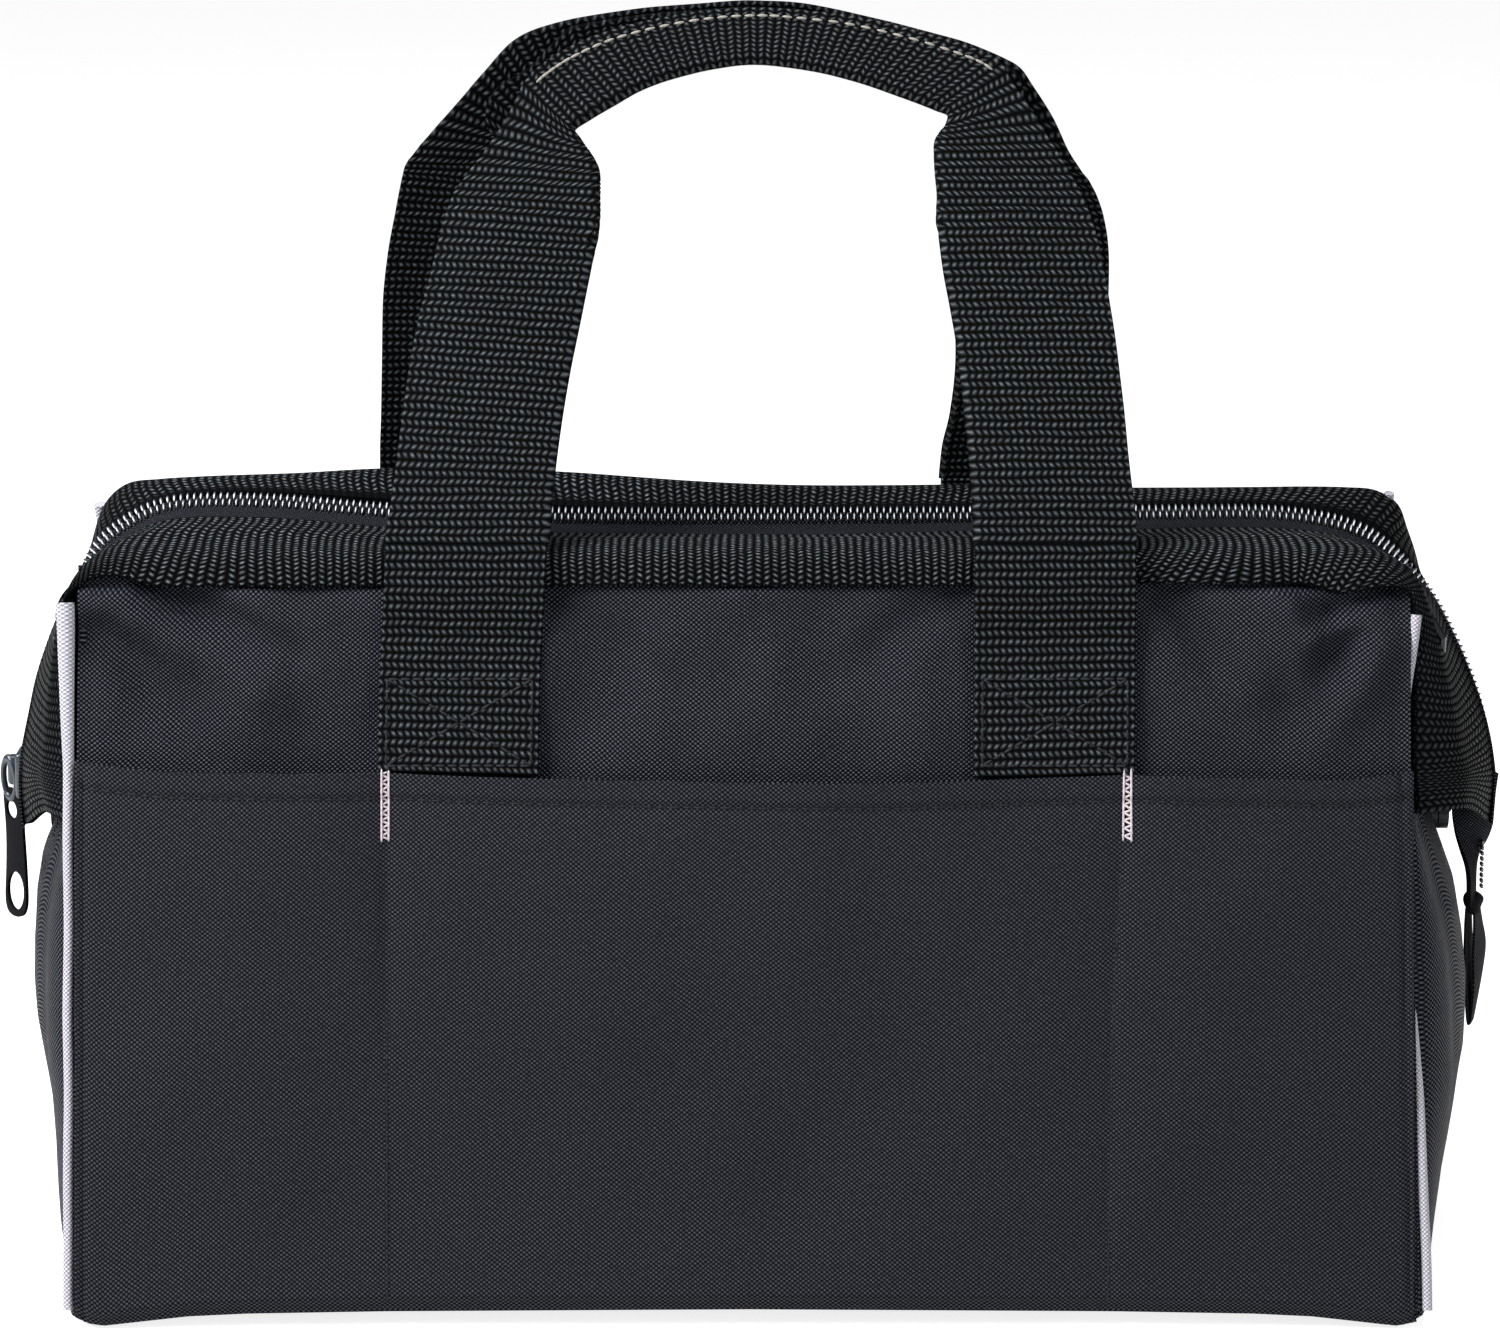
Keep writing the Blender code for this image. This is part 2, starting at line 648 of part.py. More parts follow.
def make_handle(side, shares):
    """One webbing handle: flat legs, folded lengthwise along the grip."""
    sign = SIDES[side]
    line = handle_line(side, shares)
    face = Vector((0, sign * HANDLE_RISE, STRAP_FACE - GRIP_OFFSET)).normalized()
    upright = Vector((0, sign * (GRIP_OFFSET - STRAP_FACE), HANDLE_RISE)).normalized()
    heel = upright * HANDLE_HEEL
    stations = []
    for k, point in enumerate(line):
        along = (line[min(k + 1, len(line) - 1)].xyz - line[max(k - 1, 0)].xyz).normalized()
        if k == 0:
            along = upright
        if k == len(line) - 1:
            along = -upright
        across = along.cross(face).normalized()
        width_share = point[3]
        fold = (1 - width_share) * 2
        thickness = STRAP + (GRIP_THICKNESS - STRAP) * min(fold, 1.0)
        stations.append((point.xyz, across, face, STRAP_WIDTH * width_share, thickness))
    stations[0] = (stations[0][0] - heel, *stations[0][1:])
    stations[-1] = (stations[-1][0] - heel, *stations[-1][1:])
    return strap_loft(side + "_handle", stations, BLACK_WEBBING)


# Slider and pull, in the zip's own axes: x outward, z down along the coil

def make_slider(empty):
    """The slider's two plates, with flanges that guide the coil, and a bridge for the link."""
    half_width = SLIDER_WIDTH / 2
    half_length = SLIDER_LENGTH / 2
    coil_face = COIL_RADIUS / 2 + CLEARANCE
    crown = block(
        "slider_crown", (0.0, -half_width, -half_length),
        (coil_face + SLIDER_PLATE, half_width, half_length), BLACK_METAL,
    )
    channel = half_width - FLANGE
    groove = cutter_block(
        "crown_groove", (-OVERRUN, -channel, -half_length - OVERRUN),
        (coil_face, channel, half_length + OVERRUN),
    )
    top = coil_face + SLIDER_PLATE
    bridge_core = cutter_block(
        "bridge_core", (top - SLIDER_PLATE / 2, -BRIDGE_WIDTH / 2, -BRIDGE_LENGTH / 2),
        (top + BRIDGE_RISE, BRIDGE_WIDTH / 2, BRIDGE_LENGTH / 2),
    )
    bar = BRIDGE_WIDTH / 2
    window = cutter_block(
        "bridge_window", (top + bar, -half_width, bar - BRIDGE_LENGTH / 2),
        (top + BRIDGE_RISE - bar, half_width, BRIDGE_LENGTH / 2 - bar),
    )
    tape_back = -CLEARANCE - TAPE - CLEARANCE
    coil_back = -COIL_RADIUS * 3 / 2 - CLEARANCE
    base = block(
        "slider_base", (coil_back - SLIDER_PLATE, -half_width, -half_length),
        (tape_back, half_width, half_length), BLACK_METAL,
    )
    base_groove = cutter_block(
        "base_groove", (coil_back, -channel, -half_length - OVERRUN),
        (tape_back + OVERRUN, channel, half_length + OVERRUN),
    )
    shaping = (
        combine(crown, groove, "DIFFERENCE"), combine(crown, bridge_core, "UNION"),
        combine(crown, window, "DIFFERENCE"), combine(base, base_groove, "DIFFERENCE"),
    )
    for piece in (crown, base, *shaping):
        piece.parent = empty


def pull_axis_offset():
    """How far outside the mouth's line the link's upper bar lies, inside the bridge's window."""
    return COIL_RADIUS / 2 + CLEARANCE + SLIDER_PLATE + BRIDGE_RISE / 2


def make_link():
    """Closed wire link through the bridge and the pull's eye, with its upper bar on the pull's axis."""
    half = LINK_WIDTH / 2
    curve = bpy.data.curves.new("pull_link", "CURVE")
    curve.dimensions = "3D"
    curve.bevel_depth = LINK_WIRE_RADIUS
    curve.bevel_resolution = COIL_RESOLUTION
    spline = curve.splines.new("POLY")
    corner = LINK_WIDTH / 4
    bends = (
        (-half + corner, 0.0), (half - corner, 0.0), (half, -corner), (half, corner - LINK_DROP),
        (half - corner, -LINK_DROP), (corner - half, -LINK_DROP), (-half, corner - LINK_DROP), (-half, -corner),
    )
    spline.points.add(len(bends) - 1)
    for point, (y, z) in zip(spline.points, bends):
        point.co = (0.0, y, z, 1.0)
    spline.use_cyclic_u = True
    return finish_object(bpy.data.objects.new("pull_link", curve), BLACK_METAL)


def outline_spline(curve, places):
    spline = curve.splines.new("POLY")
    spline.points.add(len(places) - 1)
    for point, (x, y) in zip(spline.points, places):
        point.co = (x, y, 0.0, 1.0)
    spline.use_cyclic_u = True


def arc_places(centre_x, centre_y, radius_x, radius_y, start, end, steps):
    places = []
    for k in range(steps + 1):
        angle = start + (end - start) * k / steps
        places.append((centre_x + radius_x * math.cos(angle), centre_y + radius_y * math.sin(angle)))
    return places


def make_pull():
    """Flat metal pull, wider towards its foot, with an eye above and a long slot below."""
    curve = bpy.data.curves.new("pull_tab", "CURVE")
    curve.dimensions = "2D"
    curve.fill_mode = "BOTH"
    curve.extrude = PULL_THICKNESS / 2
    neck = PULL_NECK / 2
    foot = PULL_WIDTH / 2
    eye_drop = 2 * PULL_EYE_RADIUS
    bottom = foot - PULL_LENGTH
    upper = arc_places(0.0, -neck, neck, neck, 0.0, math.pi, 8)
    lower = arc_places(0.0, bottom, foot, foot, math.pi, 2 * math.pi, 12)
    outline_spline(curve, upper + lower)
    eye_y = -eye_drop / 2 - CLEARANCE * 2
    outline_spline(curve, arc_places(0.0, eye_y, PULL_EYE_RADIUS, PULL_EYE_RADIUS, 0.0, 2 * math.pi, 12)[:-1])
    slot_half = PULL_SLOT_LENGTH / 2
    slot_y = bottom + slot_half / 2
    outline_spline(curve, arc_places(0.0, slot_y, PULL_SLOT_WIDTH / 2, slot_half, 0.0, 2 * math.pi, 16)[:-1])
    pull = bpy.data.objects.new("pull_tab", curve)
    pull.location = (0.0, 0.0, -LINK_DROP - eye_y)
    pull.rotation_euler = (math.pi / 2, 0.0, PULL_TURN)
    return finish_object(pull, BLACK_METAL)


# The whole bag

clear_scene()
PARTS = start_collection("tool_bag")
CUTTERS = start_collection("cutters")

make_base()
make_pocket()
for side_name in SIDES:
    make_long_wall(side_name)
for end_name in ENDS:
    make_end_wall(end_name)
    make_bartack(end_name)
    make_rivet(end_name)
    for side_name in SIDES:
        make_piping(side_name, end_name)
        make_strap_end(side_name, end_name)
make_zip_end()
make_zip_tail()

for side_name in SIDES:
    gate = joint_empty(side_name + "_gate_axis", (0.0, 0.0, HINGE_HEIGHT))
    pieces = [make_band(side_name), make_frame(side_name), *make_zip_half(side_name)]
    pieces += [make_strap_wrap(side_name, end_name) for end_name in ENDS]
    for piece_made in pieces:
        carry(piece_made, gate)
    hinge_place = (0.0, SIDES[side_name] * STRAP_FACE, HANDLE_HINGE)
    handle_axis = joint_empty(side_name + "_handle_axis", hinge_place)
    path = FRONT_PATH_SHARES if side_name == "front" else REAR_PATH_SHARES
    carry(make_handle(side_name, path), handle_axis)

slider_seat = flap_point(SLIDER_HEIGHT)
slider_axis = joint_empty("slider_axis", (-slider_seat.x, 0.0, slider_seat.z), math.pi + flap_lean())
make_slider(slider_axis)
link_out = Vector((-math.cos(flap_lean()), 0.0, math.sin(flap_lean()))) * pull_axis_offset()
link_place = Vector((-slider_seat.x, 0.0, slider_seat.z)) + link_out
pull_axis = joint_empty("pull_axis", link_place, flap_lean())
for piece_made in (make_link(), make_pull()):
    piece_made.parent = pull_axis
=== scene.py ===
import math

import bpy
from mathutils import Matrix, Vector, noise


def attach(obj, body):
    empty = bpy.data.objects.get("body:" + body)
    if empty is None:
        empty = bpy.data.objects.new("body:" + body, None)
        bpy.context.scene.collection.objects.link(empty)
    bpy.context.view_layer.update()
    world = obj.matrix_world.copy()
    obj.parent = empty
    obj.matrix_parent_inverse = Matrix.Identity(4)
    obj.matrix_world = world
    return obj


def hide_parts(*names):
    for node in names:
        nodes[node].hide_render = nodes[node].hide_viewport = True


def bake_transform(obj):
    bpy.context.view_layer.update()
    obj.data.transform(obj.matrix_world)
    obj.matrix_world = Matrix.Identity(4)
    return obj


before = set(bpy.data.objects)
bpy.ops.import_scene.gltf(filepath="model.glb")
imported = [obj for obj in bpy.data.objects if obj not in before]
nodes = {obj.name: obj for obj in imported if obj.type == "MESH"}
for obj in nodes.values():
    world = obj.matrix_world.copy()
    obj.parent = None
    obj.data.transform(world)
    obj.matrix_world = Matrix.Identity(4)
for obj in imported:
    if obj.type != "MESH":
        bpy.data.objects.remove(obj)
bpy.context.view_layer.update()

# Long walls, front and rear
# Coarse plain-weave polyester, cut as one trapezium each and sewn to the piping at both ends.
# The front wall puckers under the mouth band, where the cloth is gathered into it.
SIDES = {"front": -1, "rear": 1}
WALL_CLOTH = 0.0012
WALL_SIZE = (0.318, 0.178)
WALL_FOOT_DEPTH = 0.078
WALL_LEAN = 0.2367
WALL_HEAD = 0.1735
WALL_HEAD_DEPTH = 0.0372
WALL_LENGTH = 0.32
WALL_GRAIN = 0.0026
REAR_SWELL = 0.0014
FOOT_TURN = 0.0022
FOOT_TURN_HEIGHT = 0.0035
SEAM_GROOVE = 0.0007
SEAM_ALLOWANCE = 0.0024


def tenths(table):
    """A table of lengths written in tenths of a millimetre, as metres."""
    return tuple(tenths(row) if isinstance(row, tuple) else row / 10000 for row in table)


LEFT_SEAM = tenths(((0, -1606), (900, -1607), (1240, -1606), (1290, -1600), (1720, -1597)))
RIGHT_SEAM = tenths(((0, 1592), (900, 1578), (1300, 1570), (1720, 1572)))
BASE_EDGE = tenths(((0, 14), (870, 9), (1200, 3), (1340, -4), (1460, -18), (1535, -27), (1575, -22), (1605, -8)))
# Each fold has its two ends, its half width and its height.
FRONT_FOLDS = tenths((
    ((-1530, 1650), (-1180, 1460), 60, 46), ((-1440, 1690), (-1080, 1540), 40, -40),
    ((-1540, 1580), (-1280, 1300), 65, -40), ((-1200, 1660), (-980, 1500), 40, 16),
    ((-460, 1670), (-180, 1460), 55, -20), ((480, 1670), (220, 1480), 55, -20), ((0, 1660), (40, 1400), 80, 16),
    ((1000, 1670), (1180, 1400), 50, -42), ((1280, 1680), (1320, 1460), 45, 44),
    ((1520, 1670), (1240, 1360), 60, -30), ((1500, 1560), (1380, 1340), 50, 28), ((1340, 1570), (1500, 1630), 28, 34),
    ((1380, 1630), (1520, 1690), 25, -30),
))


def read_table(table, place):
    """Straight reading of (place, value) pairs."""
    for (low, first), (high, second) in zip(table, table[1:]):
        if place <= high:
            return first + (second - first) * max(place - low, 0.0) / (high - low)
    return table[-1][1]


def ease(low, high, value):
    """0 below low, 1 above high, and smooth between."""
    t = min(max((value - low) / (high - low), 0.0), 1.0)
    return t * t * (3 - 2 * t)


def bell(value, width):
    """1 at zero, and falling away smoothly over a width on both sides."""
    return math.exp(-(value / width) ** 2)


def soft_noise(*place):
    return noise.noise(Vector(place))


def wall_depth(height):
    """Distance of a long wall's face from the middle plane."""
    return WALL_FOOT_DEPTH - WALL_LEAN * height


def fold_shape(x, z):
    """Height of the front wall's soft folds at a place: each one is a ridge or a dent along a short line."""
    total = 0.0
    for start, end, width, height in FRONT_FOLDS:
        a, b, p = Vector(start), Vector(end), Vector((x, z))
        along = b - a
        t = min(max((p - a).dot(along) / along.length_squared, 0.0), 1.0)
        total += height * (1 - 0.6 * t) * bell((p - a - along * t).length, width)
    return total


def deselect():
    bpy.ops.object.select_all(action="DESELECT")


def select_only(piece):
    deselect()
    piece.select_set(True)
    bpy.context.view_layer.objects.active = piece


def lay_grid(name, columns, rows, place, width, height):
    """A grid primitive laid on place(u, v), with its UV map in metres of cloth."""
    deselect()
    bpy.ops.mesh.primitive_grid_add(x_subdivisions=columns, y_subdivisions=rows, size=1, calc_uvs=True)
    piece = bpy.context.object
    piece.name = name
    piece.data.name = name
    for vertex in piece.data.vertices:
        vertex.co = place(vertex.co.x + 0.5, vertex.co.y + 0.5)
    for corner in piece.data.uv_layers[0].data:
        corner.uv = (corner.uv.x * width, corner.uv.y * height)
    return piece


def apply_change(piece, kind, **settings):
    """Adds a modifier to a piece and applies it."""
    select_only(piece)
    change = piece.modifiers.new(kind.lower(), kind)
    for key, value in settings.items():
        setattr(change, key, value)
    bpy.ops.object.modifier_apply(modifier=change.name)


def smooth(piece, angle=50):
    select_only(piece)
    bpy.ops.object.shade_smooth_by_angle(angle=math.radians(angle))


def thicken(piece, thickness, outward=None, offset=-1.0):
    """Gives an open sheet its thickness, after its faces are turned to look outward."""
    if outward is not None:
        total = sum((face.normal * face.area for face in piece.data.polygons), Vector())
        if total.dot(Vector(outward)) < 0:
            piece.data.flip_normals()
    apply_change(piece, "SOLIDIFY", thickness=thickness, offset=offset, use_even_offset=False)
    smooth(piece)


def linear(code):
    """A colour's sRGB hex code as linear values."""
    values = [int(code[k:k + 2], 16) / 255 for k in (1, 3, 5)]
    return [v / 12.92 if v <= 0.04045 else ((v + 0.055) / 1.055) ** 2.4 for v in values] + [1.0]


def add_node(material, kind, inputs=None, **settings):
    """Adds a node with its settings, and its inputs as values or as links from other nodes."""
    node = material.node_tree.nodes.new(kind)
    for key, value in settings.items():
        setattr(node, key, value)
    for socket, value in (inputs or {}).items():
        if isinstance(value, bpy.types.NodeSocket):
            material.node_tree.links.new(value, node.inputs[socket])
        else:
            node.inputs[socket].default_value = value
    return node


def calculate(material, operation, *values):
    """A math node's result, from numbers or other nodes' outputs."""
    return add_node(material, "ShaderNodeMath", dict(enumerate(values)), operation=operation).outputs[0]


def remap(material, value, low, high, to_low=0.0, to_high=1.0, **settings):
    """A map-range node's result."""
    inputs = {"Value": value, "From Min": low, "From Max": high, "To Min": to_low, "To Max": to_high}
    return add_node(material, "ShaderNodeMapRange", inputs, **settings).outputs["Result"]


def mottle(material, place, scale, detail=2.0, output="Fac", **inputs):
    """A noise texture's result at a place."""
    inputs.update(Vector=place, Scale=scale, Detail=detail)
    return add_node(material, "ShaderNodeTexNoise", inputs).outputs[output]


def connect(node, socket, output):
    node.id_data.links.new(output, node.inputs[socket])


def new_material(name, roughness, **inputs):
    """A named material, with its constant values on the shader's own sockets."""
    material = bpy.data.materials.new(name)
    material.use_nodes = True
    shader = material.node_tree.nodes["Principled BSDF"]
    shader.inputs["Roughness"].default_value = roughness
    for socket, value in inputs.items():
        shader.inputs[socket.replace("_", " ")].default_value = value
    return material, shader


def link_bump(material, shader, height, distance, strength=1.0):
    bump = add_node(material, "ShaderNodeBump", {"Height": height, "Distance": distance, "Strength": strength})
    connect(shader, "Normal", bump.outputs["Normal"])


def wandering_weave(material, scale, wander):
    """The UV map, and its measures X and Y after the yarns have wandered a little."""
    uv = add_node(material, "ShaderNodeUVMap").outputs["UV"]
    drift = mottle(material, uv, scale, output="Color")
    centred = add_node(material, "ShaderNodeVectorMath", {0: drift, 1: (0.5, 0.5, 0.5)}, operation="SUBTRACT")
    shifted = add_node(material, "ShaderNodeVectorMath", {0: centred.outputs[0], 1: (wander, wander, 0.0), 2: uv},
                       operation="MULTIPLY_ADD")
    return uv, add_node(material, "ShaderNodeSeparateXYZ", {0: shifted.outputs[0]}).outputs


def shade_yarn(material, uv, crown, scale, low, high):
    """The crowns' height, dimmed or raised from yarn to yarn."""
    level = remap(material, mottle(material, uv, scale, 3.0, Roughness=0.7), 0.3, 0.7, low, high)
    return calculate(material, "MULTIPLY", crown, level)


def colour_ramp(material, shader, factor, places, codes):
    """The base colour in three steps: dark gaps, mid yarn and light crowns; the gaps' darkness is partly painted shade
    and the crowns' lightness partly a painted highlight.
    """
    ramp = add_node(material, "ShaderNodeValToRGB", {"Fac": factor})
    steps = ramp.color_ramp.elements
    steps[0].position, steps[1].position = places[0], places[2]
    steps[0].color, steps[1].color = linear(codes[0]), linear(codes[2])
    steps.new(places[1]).color = linear(codes[1])
    connect(shader, "Base Color", ramp.outputs["Color"])


def woven_cloth(name, pitch_u, pitch_v, codes, depth, roughness, patchy=0.5, sheen=0.0):
    """Plain-woven polyester: crowns in staggered rows, a little uneven from yarn to yarn."""
    material, shader = new_material(name, roughness, Sheen_Weight=sheen, Sheen_Tint=linear(codes[2]))
    uv, measures = wandering_weave(material, 90.0, 0.0010)
    waves = [calculate(material, "SINE", calculate(material, "MULTIPLY", measures[axis], 2 * math.pi / pitch))
             for axis, pitch in (("X", pitch_u), ("Y", pitch_v))]
    shade = shade_yarn(material, uv, calculate(material, "MULTIPLY", *waves), 0.9 / pitch_u, 1 - patchy, 1 + patchy)
    colour_ramp(material, shader, remap(material, shade, -1.0, 1.0), (0.30, 0.60, 0.92), codes)
    connect(shader, "Specular IOR Level", remap(material, shade, -0.2, 1.0, 0.0, 0.45))
    link_bump(material, shader, shade, depth)
    return material


# Coarse polyester: yarns about 0.6 mm apart show as staggered crowns, lightened by a painted highlight, on near-black,
# slightly blue cloth.
plain_polyester = woven_cloth("plain_weave_polyester", 0.00128, 0.00108, ("#0E0F14", "#1A1C22", "#3C3F4A"),
                              0.00016, 0.5, sheen=0.02)
# The pocket's copy of the same cloth: its painted highlights on the crowns and its painted shade in the gaps are weaker
# than on the walls.
pocket_polyester = woven_cloth("pocket_plain_weave_polyester", 0.00128, 0.00108, ("#131418", "#1A1C21", "#2A2D36"),
                               0.00012, 0.55, sheen=0.02)


def seam_x(end, height):
    return read_table(LEFT_SEAM if end == "left" else RIGHT_SEAM, height)


def base_line(x):
    """The walls' lower edge: the base bows up a little between its corners."""
    return read_table(BASE_EDGE, abs(x))


def seam_groove(x, z):
    """Depth of the grooves that the seams along the ends and the foot pull into the cloth."""
    beside = min(x - seam_x("left", z), seam_x("right", z) - x)
    groove = SEAM_GROOVE * bell(beside - SEAM_ALLOWANCE, 0.0007)
    return groove + SEAM_GROOVE * bell(z - base_line(x) - SEAM_ALLOWANCE, 0.0006)


def long_wall_point(side, u, v):
    sign = SIDES[side]
    foot = base_line(WALL_LENGTH * u - WALL_LENGTH / 2)
    z = foot + (WALL_HEAD - foot) * v
    x = seam_x("left", z) * (1 - u) + seam_x("right", z) * u
    depth = wall_depth(z)
    depth -= FOOT_TURN * (1 - ease(0.0, FOOT_TURN_HEIGHT, z - foot)) + seam_groove(x, z)
    upper = ease(0.10, 0.15, z) * (1 - 0.8 * ease(0.164, 0.170, z))
    grain = soft_noise(x * 38, z * 22, sign * 3.1) + 0.5 * soft_noise(x * 85, z * 60, sign * 7.7)
    depth += WALL_GRAIN * upper * grain * ease(0.0, 0.012, 0.158 - abs(x))
    if side == "front":
        depth += fold_shape(x, z)
    else:
        swell = math.sin(math.pi * u) * math.sin(math.pi * min(v, 1.0))
        depth += REAR_SWELL * swell * (1 + soft_noise(x * 9, z * 12, 5))
    depth = min(depth, WALL_HEAD_DEPTH) if z > 0.168 else depth
    return Vector((x, sign * depth, z))


def bend_with_gate(piece, side):
    """Bakes the piece's placement into its own points."""
    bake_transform(piece)


for side in SIDES:
    wall = lay_grid(side + "_wall", 220, 110, lambda u, v: long_wall_point(side, u, v), *WALL_SIZE)
    thicken(wall, WALL_CLOTH, (0, SIDES[side], 0))
    wall.data.materials.append(plain_polyester)
    bend_with_gate(wall, side)
    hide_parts(side + "_panel")

# Base
# The same polyester under a grey fibreboard stiffener, which lies loose in the bag.
# The base cloth is turned in at its edges, and the board's cut edges show pressed fibres.
BASE_LENGTH = 0.317
BASE_DEPTH = 0.151
BASE_LIFT = 0.0006


def mix_tones(material, shader, factor, dark, light):
    """The base colour, between two hex codes."""
    inputs = {"Factor": factor, "A": linear(dark), "B": linear(light)}
    connect(shader, "Base Color", add_node(material, "ShaderNodeMix", inputs, data_type="RGBA").outputs["Result"])


def two_tone(name, roughness, dark, light, scale, detail=2.0, bump=None, **inputs):
    """A material that wanders between two close colours, and that its own noise can roughen."""
    material, shader = new_material(name, roughness, **inputs)
    grain = mottle(material, add_node(material, "ShaderNodeTexCoord").outputs["Object"], scale, detail)
    mix_tones(material, shader, grain, dark, light)
    if bump:
        link_bump(material, shader, grain, *bump)
    return material


def dress(node, material):
    """Gives a CAD node its material."""
    nodes[node].data.materials.clear()
    nodes[node].data.materials.append(material)


def base_point(u, v):
    x = BASE_LENGTH * u - BASE_LENGTH / 2
    return Vector((x, BASE_DEPTH * v - BASE_DEPTH / 2, base_line(x) + BASE_LIFT))


# Pressed wood fibre: matt grey, with a fine grain.
fibreboard = two_tone("grey_fibreboard", 0.85, "#4A4A48", "#6E6D69", 700.0, 4.0, (0.0002, 0.6))
base_cloth = lay_grid("base_cloth", 90, 40, base_point, BASE_LENGTH, BASE_DEPTH)
thicken(base_cloth, WALL_CLOTH, (0, 0, 1))
base_cloth.data.materials.append(plain_polyester)
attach(base_cloth, "bag_body")
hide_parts("base_panel")
dress("base_board", fibreboard)

# End walls
# The same cloth, in a front and a rear half.
# The lower part is pushed out by what the bag holds, and a notch at the top clears the zip's end.
ENDS = {"left": -1, "right": 1}
END_SIZE = (0.076, 0.15)
NOTCH_HEIGHT = 0.112
NOTCH_RISE = 0.048
END_CREASE = 0.0011
END_RIPPLE = 0.0007
END_BULGE = {
    "left": tenths((
        (-30, 55), (110, 85), (171, 98), (296, 108), (408, 118), (494, 134), (593, 151), (692, 158), (790, 158),
        (887, 152), (972, 135), (1050, 102), (1110, 70), (1250, 40), (1700, 20),
    )),
    "right": tenths((
        (-30, 60), (180, 108), (305, 138), (398, 160), (510, 183), (682, 188), (790, 178), (889, 162), (980, 130),
        (1050, 104), (1110, 76), (1250, 40), (1700, 20),
    )),
}


def end_wall_point(end, side, u, v):
    """u runs from the middle of the end to the corner seam, and v from the foot to the notched top."""
    top = NOTCH_HEIGHT + NOTCH_RISE * ease(0.35, 0.80, u)
    foot = -0.0008 + 0.0020 * (1 - u)
    z = foot + (top - foot) * v
    depth = (wall_depth(z) - 0.0016) * u
    bulge = read_table(END_BULGE[end], z) * max(math.cos(u * math.pi / 2), 0.0) ** 0.5
    crease = END_CREASE * bell(u - 0.55 - 0.25 * z / 0.11, 0.09) * ease(0.01, 0.05, z)
    ripple = END_RIPPLE * soft_noise(z * 40, u * 3 * SIDES[side], ENDS[end] * 4.0) * math.sin(math.pi * u)
    corner = abs(seam_x(end, z)) - 0.0002
    return Vector((ENDS[end] * (corner + bulge - crease + ripple), SIDES[side] * depth, z))


for end in ENDS:
    for side in SIDES:
        half = lay_grid(f"{end}_end_{side}_half", 60, 110, lambda u, v: end_wall_point(end, side, u, v), *END_SIZE)
        thicken(half, WALL_CLOTH, (ENDS[end], 0, 0))
        half.data.materials.append(plain_polyester)
        bend_with_gate(half, side)
        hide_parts(end + "_end_panel")

# Piping
# Light grey woven tape round a cord, sewn into the upright corner seams.
# Its pale threads show as small staggered crowns, and the seam beside it shows as a dark line.
PIPING_FOOT = 0.0012
PIPING_RADIUS = {
    "left": tenths(((0, 12), (1000, 12), (1250, 13), (1400, 17), (1648, 23), (1649, 16))),
    "right": tenths(((0, 12), (1650, 13))),
}
PIPING_OUT = {
    ("front", "left"): tenths(((0, 14), (900, 14), (1240, 15), (1300, 22), (1660, 31))),
    ("front", "right"): tenths(((0, 18), (300, 14), (880, -12), (1390, -14), (1620, 14))),
    ("rear", "left"): tenths(((0, 14), (1400, 17), (1600, 22), (1740, 36))),
    ("rear", "right"): tenths(((0, 14), (1400, 16), (1600, 20), (1770, 32))),
}
PIPING_HEADS = {
    ("front", "left"): 0.1648, ("front", "right"): 0.1620, ("rear", "left"): 0.1738, ("rear", "right"): 0.1768,
}


def piping_line(side, end, steps):
    """Points up a corner seam. Where the piping lies behind the wall's edge, it steps back too."""
    points = []
    for k in range(steps + 1):
        z = PIPING_FOOT + (PIPING_HEADS[side, end] - PIPING_FOOT) * k / steps
        wobble = 0.0003 * soft_noise(z * 50, ENDS[end] * 2.0, SIDES[side] * 3.0)
        out = read_table(PIPING_OUT[side, end], z)
        back = 0.0006 + 0.0026 * (1 - ease(-0.0010, 0.0014, out))
        points.append(Vector((seam_x(end, z) + ENDS[end] * (out + wobble), SIDES[side] * (wall_depth(z) - back), z)))
    return points


def mend_mesh(piece, merge=False, cap=False):
    """Turns a piece's faces outward, after its doubled points are merged and its open ends capped where asked."""
    select_only(piece)
    bpy.ops.object.mode_set(mode="EDIT")
    bpy.ops.mesh.select_all(action="SELECT")
    if merge:
        bpy.ops.mesh.remove_doubles(threshold=0.00001)
    if cap:
        bpy.ops.mesh.select_all(action="DESELECT")
        bpy.ops.mesh.select_non_manifold()
        bpy.ops.mesh.edge_face_add()
        bpy.ops.mesh.select_all(action="SELECT")
    bpy.ops.mesh.normals_make_consistent(inside=False)
    bpy.ops.object.mode_set(mode="OBJECT")


def lay_tube(name, points, radii, sides):
    """A round cord along points, with its UV map in metres round and along it."""
    length = sum((b - a).length for a, b in zip(points, points[1:]))
    frames = []
    across = None
    for k, point in enumerate(points):
        along = (points[min(k + 1, len(points) - 1)] - points[max(k - 1, 0)]).normalized()
        if across is None:
            across = along.orthogonal().normalized()
        across = (across - along * across.dot(along)).normalized()
        frames.append((point, across, along.cross(across)))

    def place(u, v):
        step = round(v * (len(points) - 1))
        point, a, b = frames[step]
        return point + (a * math.cos(u * 2 * math.pi) + b * math.sin(u * 2 * math.pi)) * radii[step]

    piece = lay_grid(name, sides, len(points) - 1, place, 2 * math.pi * radii[0], length)
    mend_mesh(piece, merge=True, cap=True)
    smooth(piece, 60)
    return piece


# Polyester piping tape: pale threads whose crowns show as small staggered bumps.
piping_tape = woven_cloth("woven_piping_tape", 0.0012, 0.0010, ("#94929C", "#B0AEB8", "#DAD8E0"),
                          0.00012, 0.7, 0.3, 0.1)
for end in ENDS:
    for side in SIDES:
        corner_line = piping_line(side, end, 90)
        radii = [read_table(PIPING_RADIUS[end], point.z) for point in corner_line]
        cord_piece = lay_tube(f"{side}_{end}_piping_cord", corner_line, radii, 12)
        cord_piece.data.materials.append(piping_tape)
        bend_with_gate(cord_piece, side)
        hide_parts(f"{side}_{end}_piping")

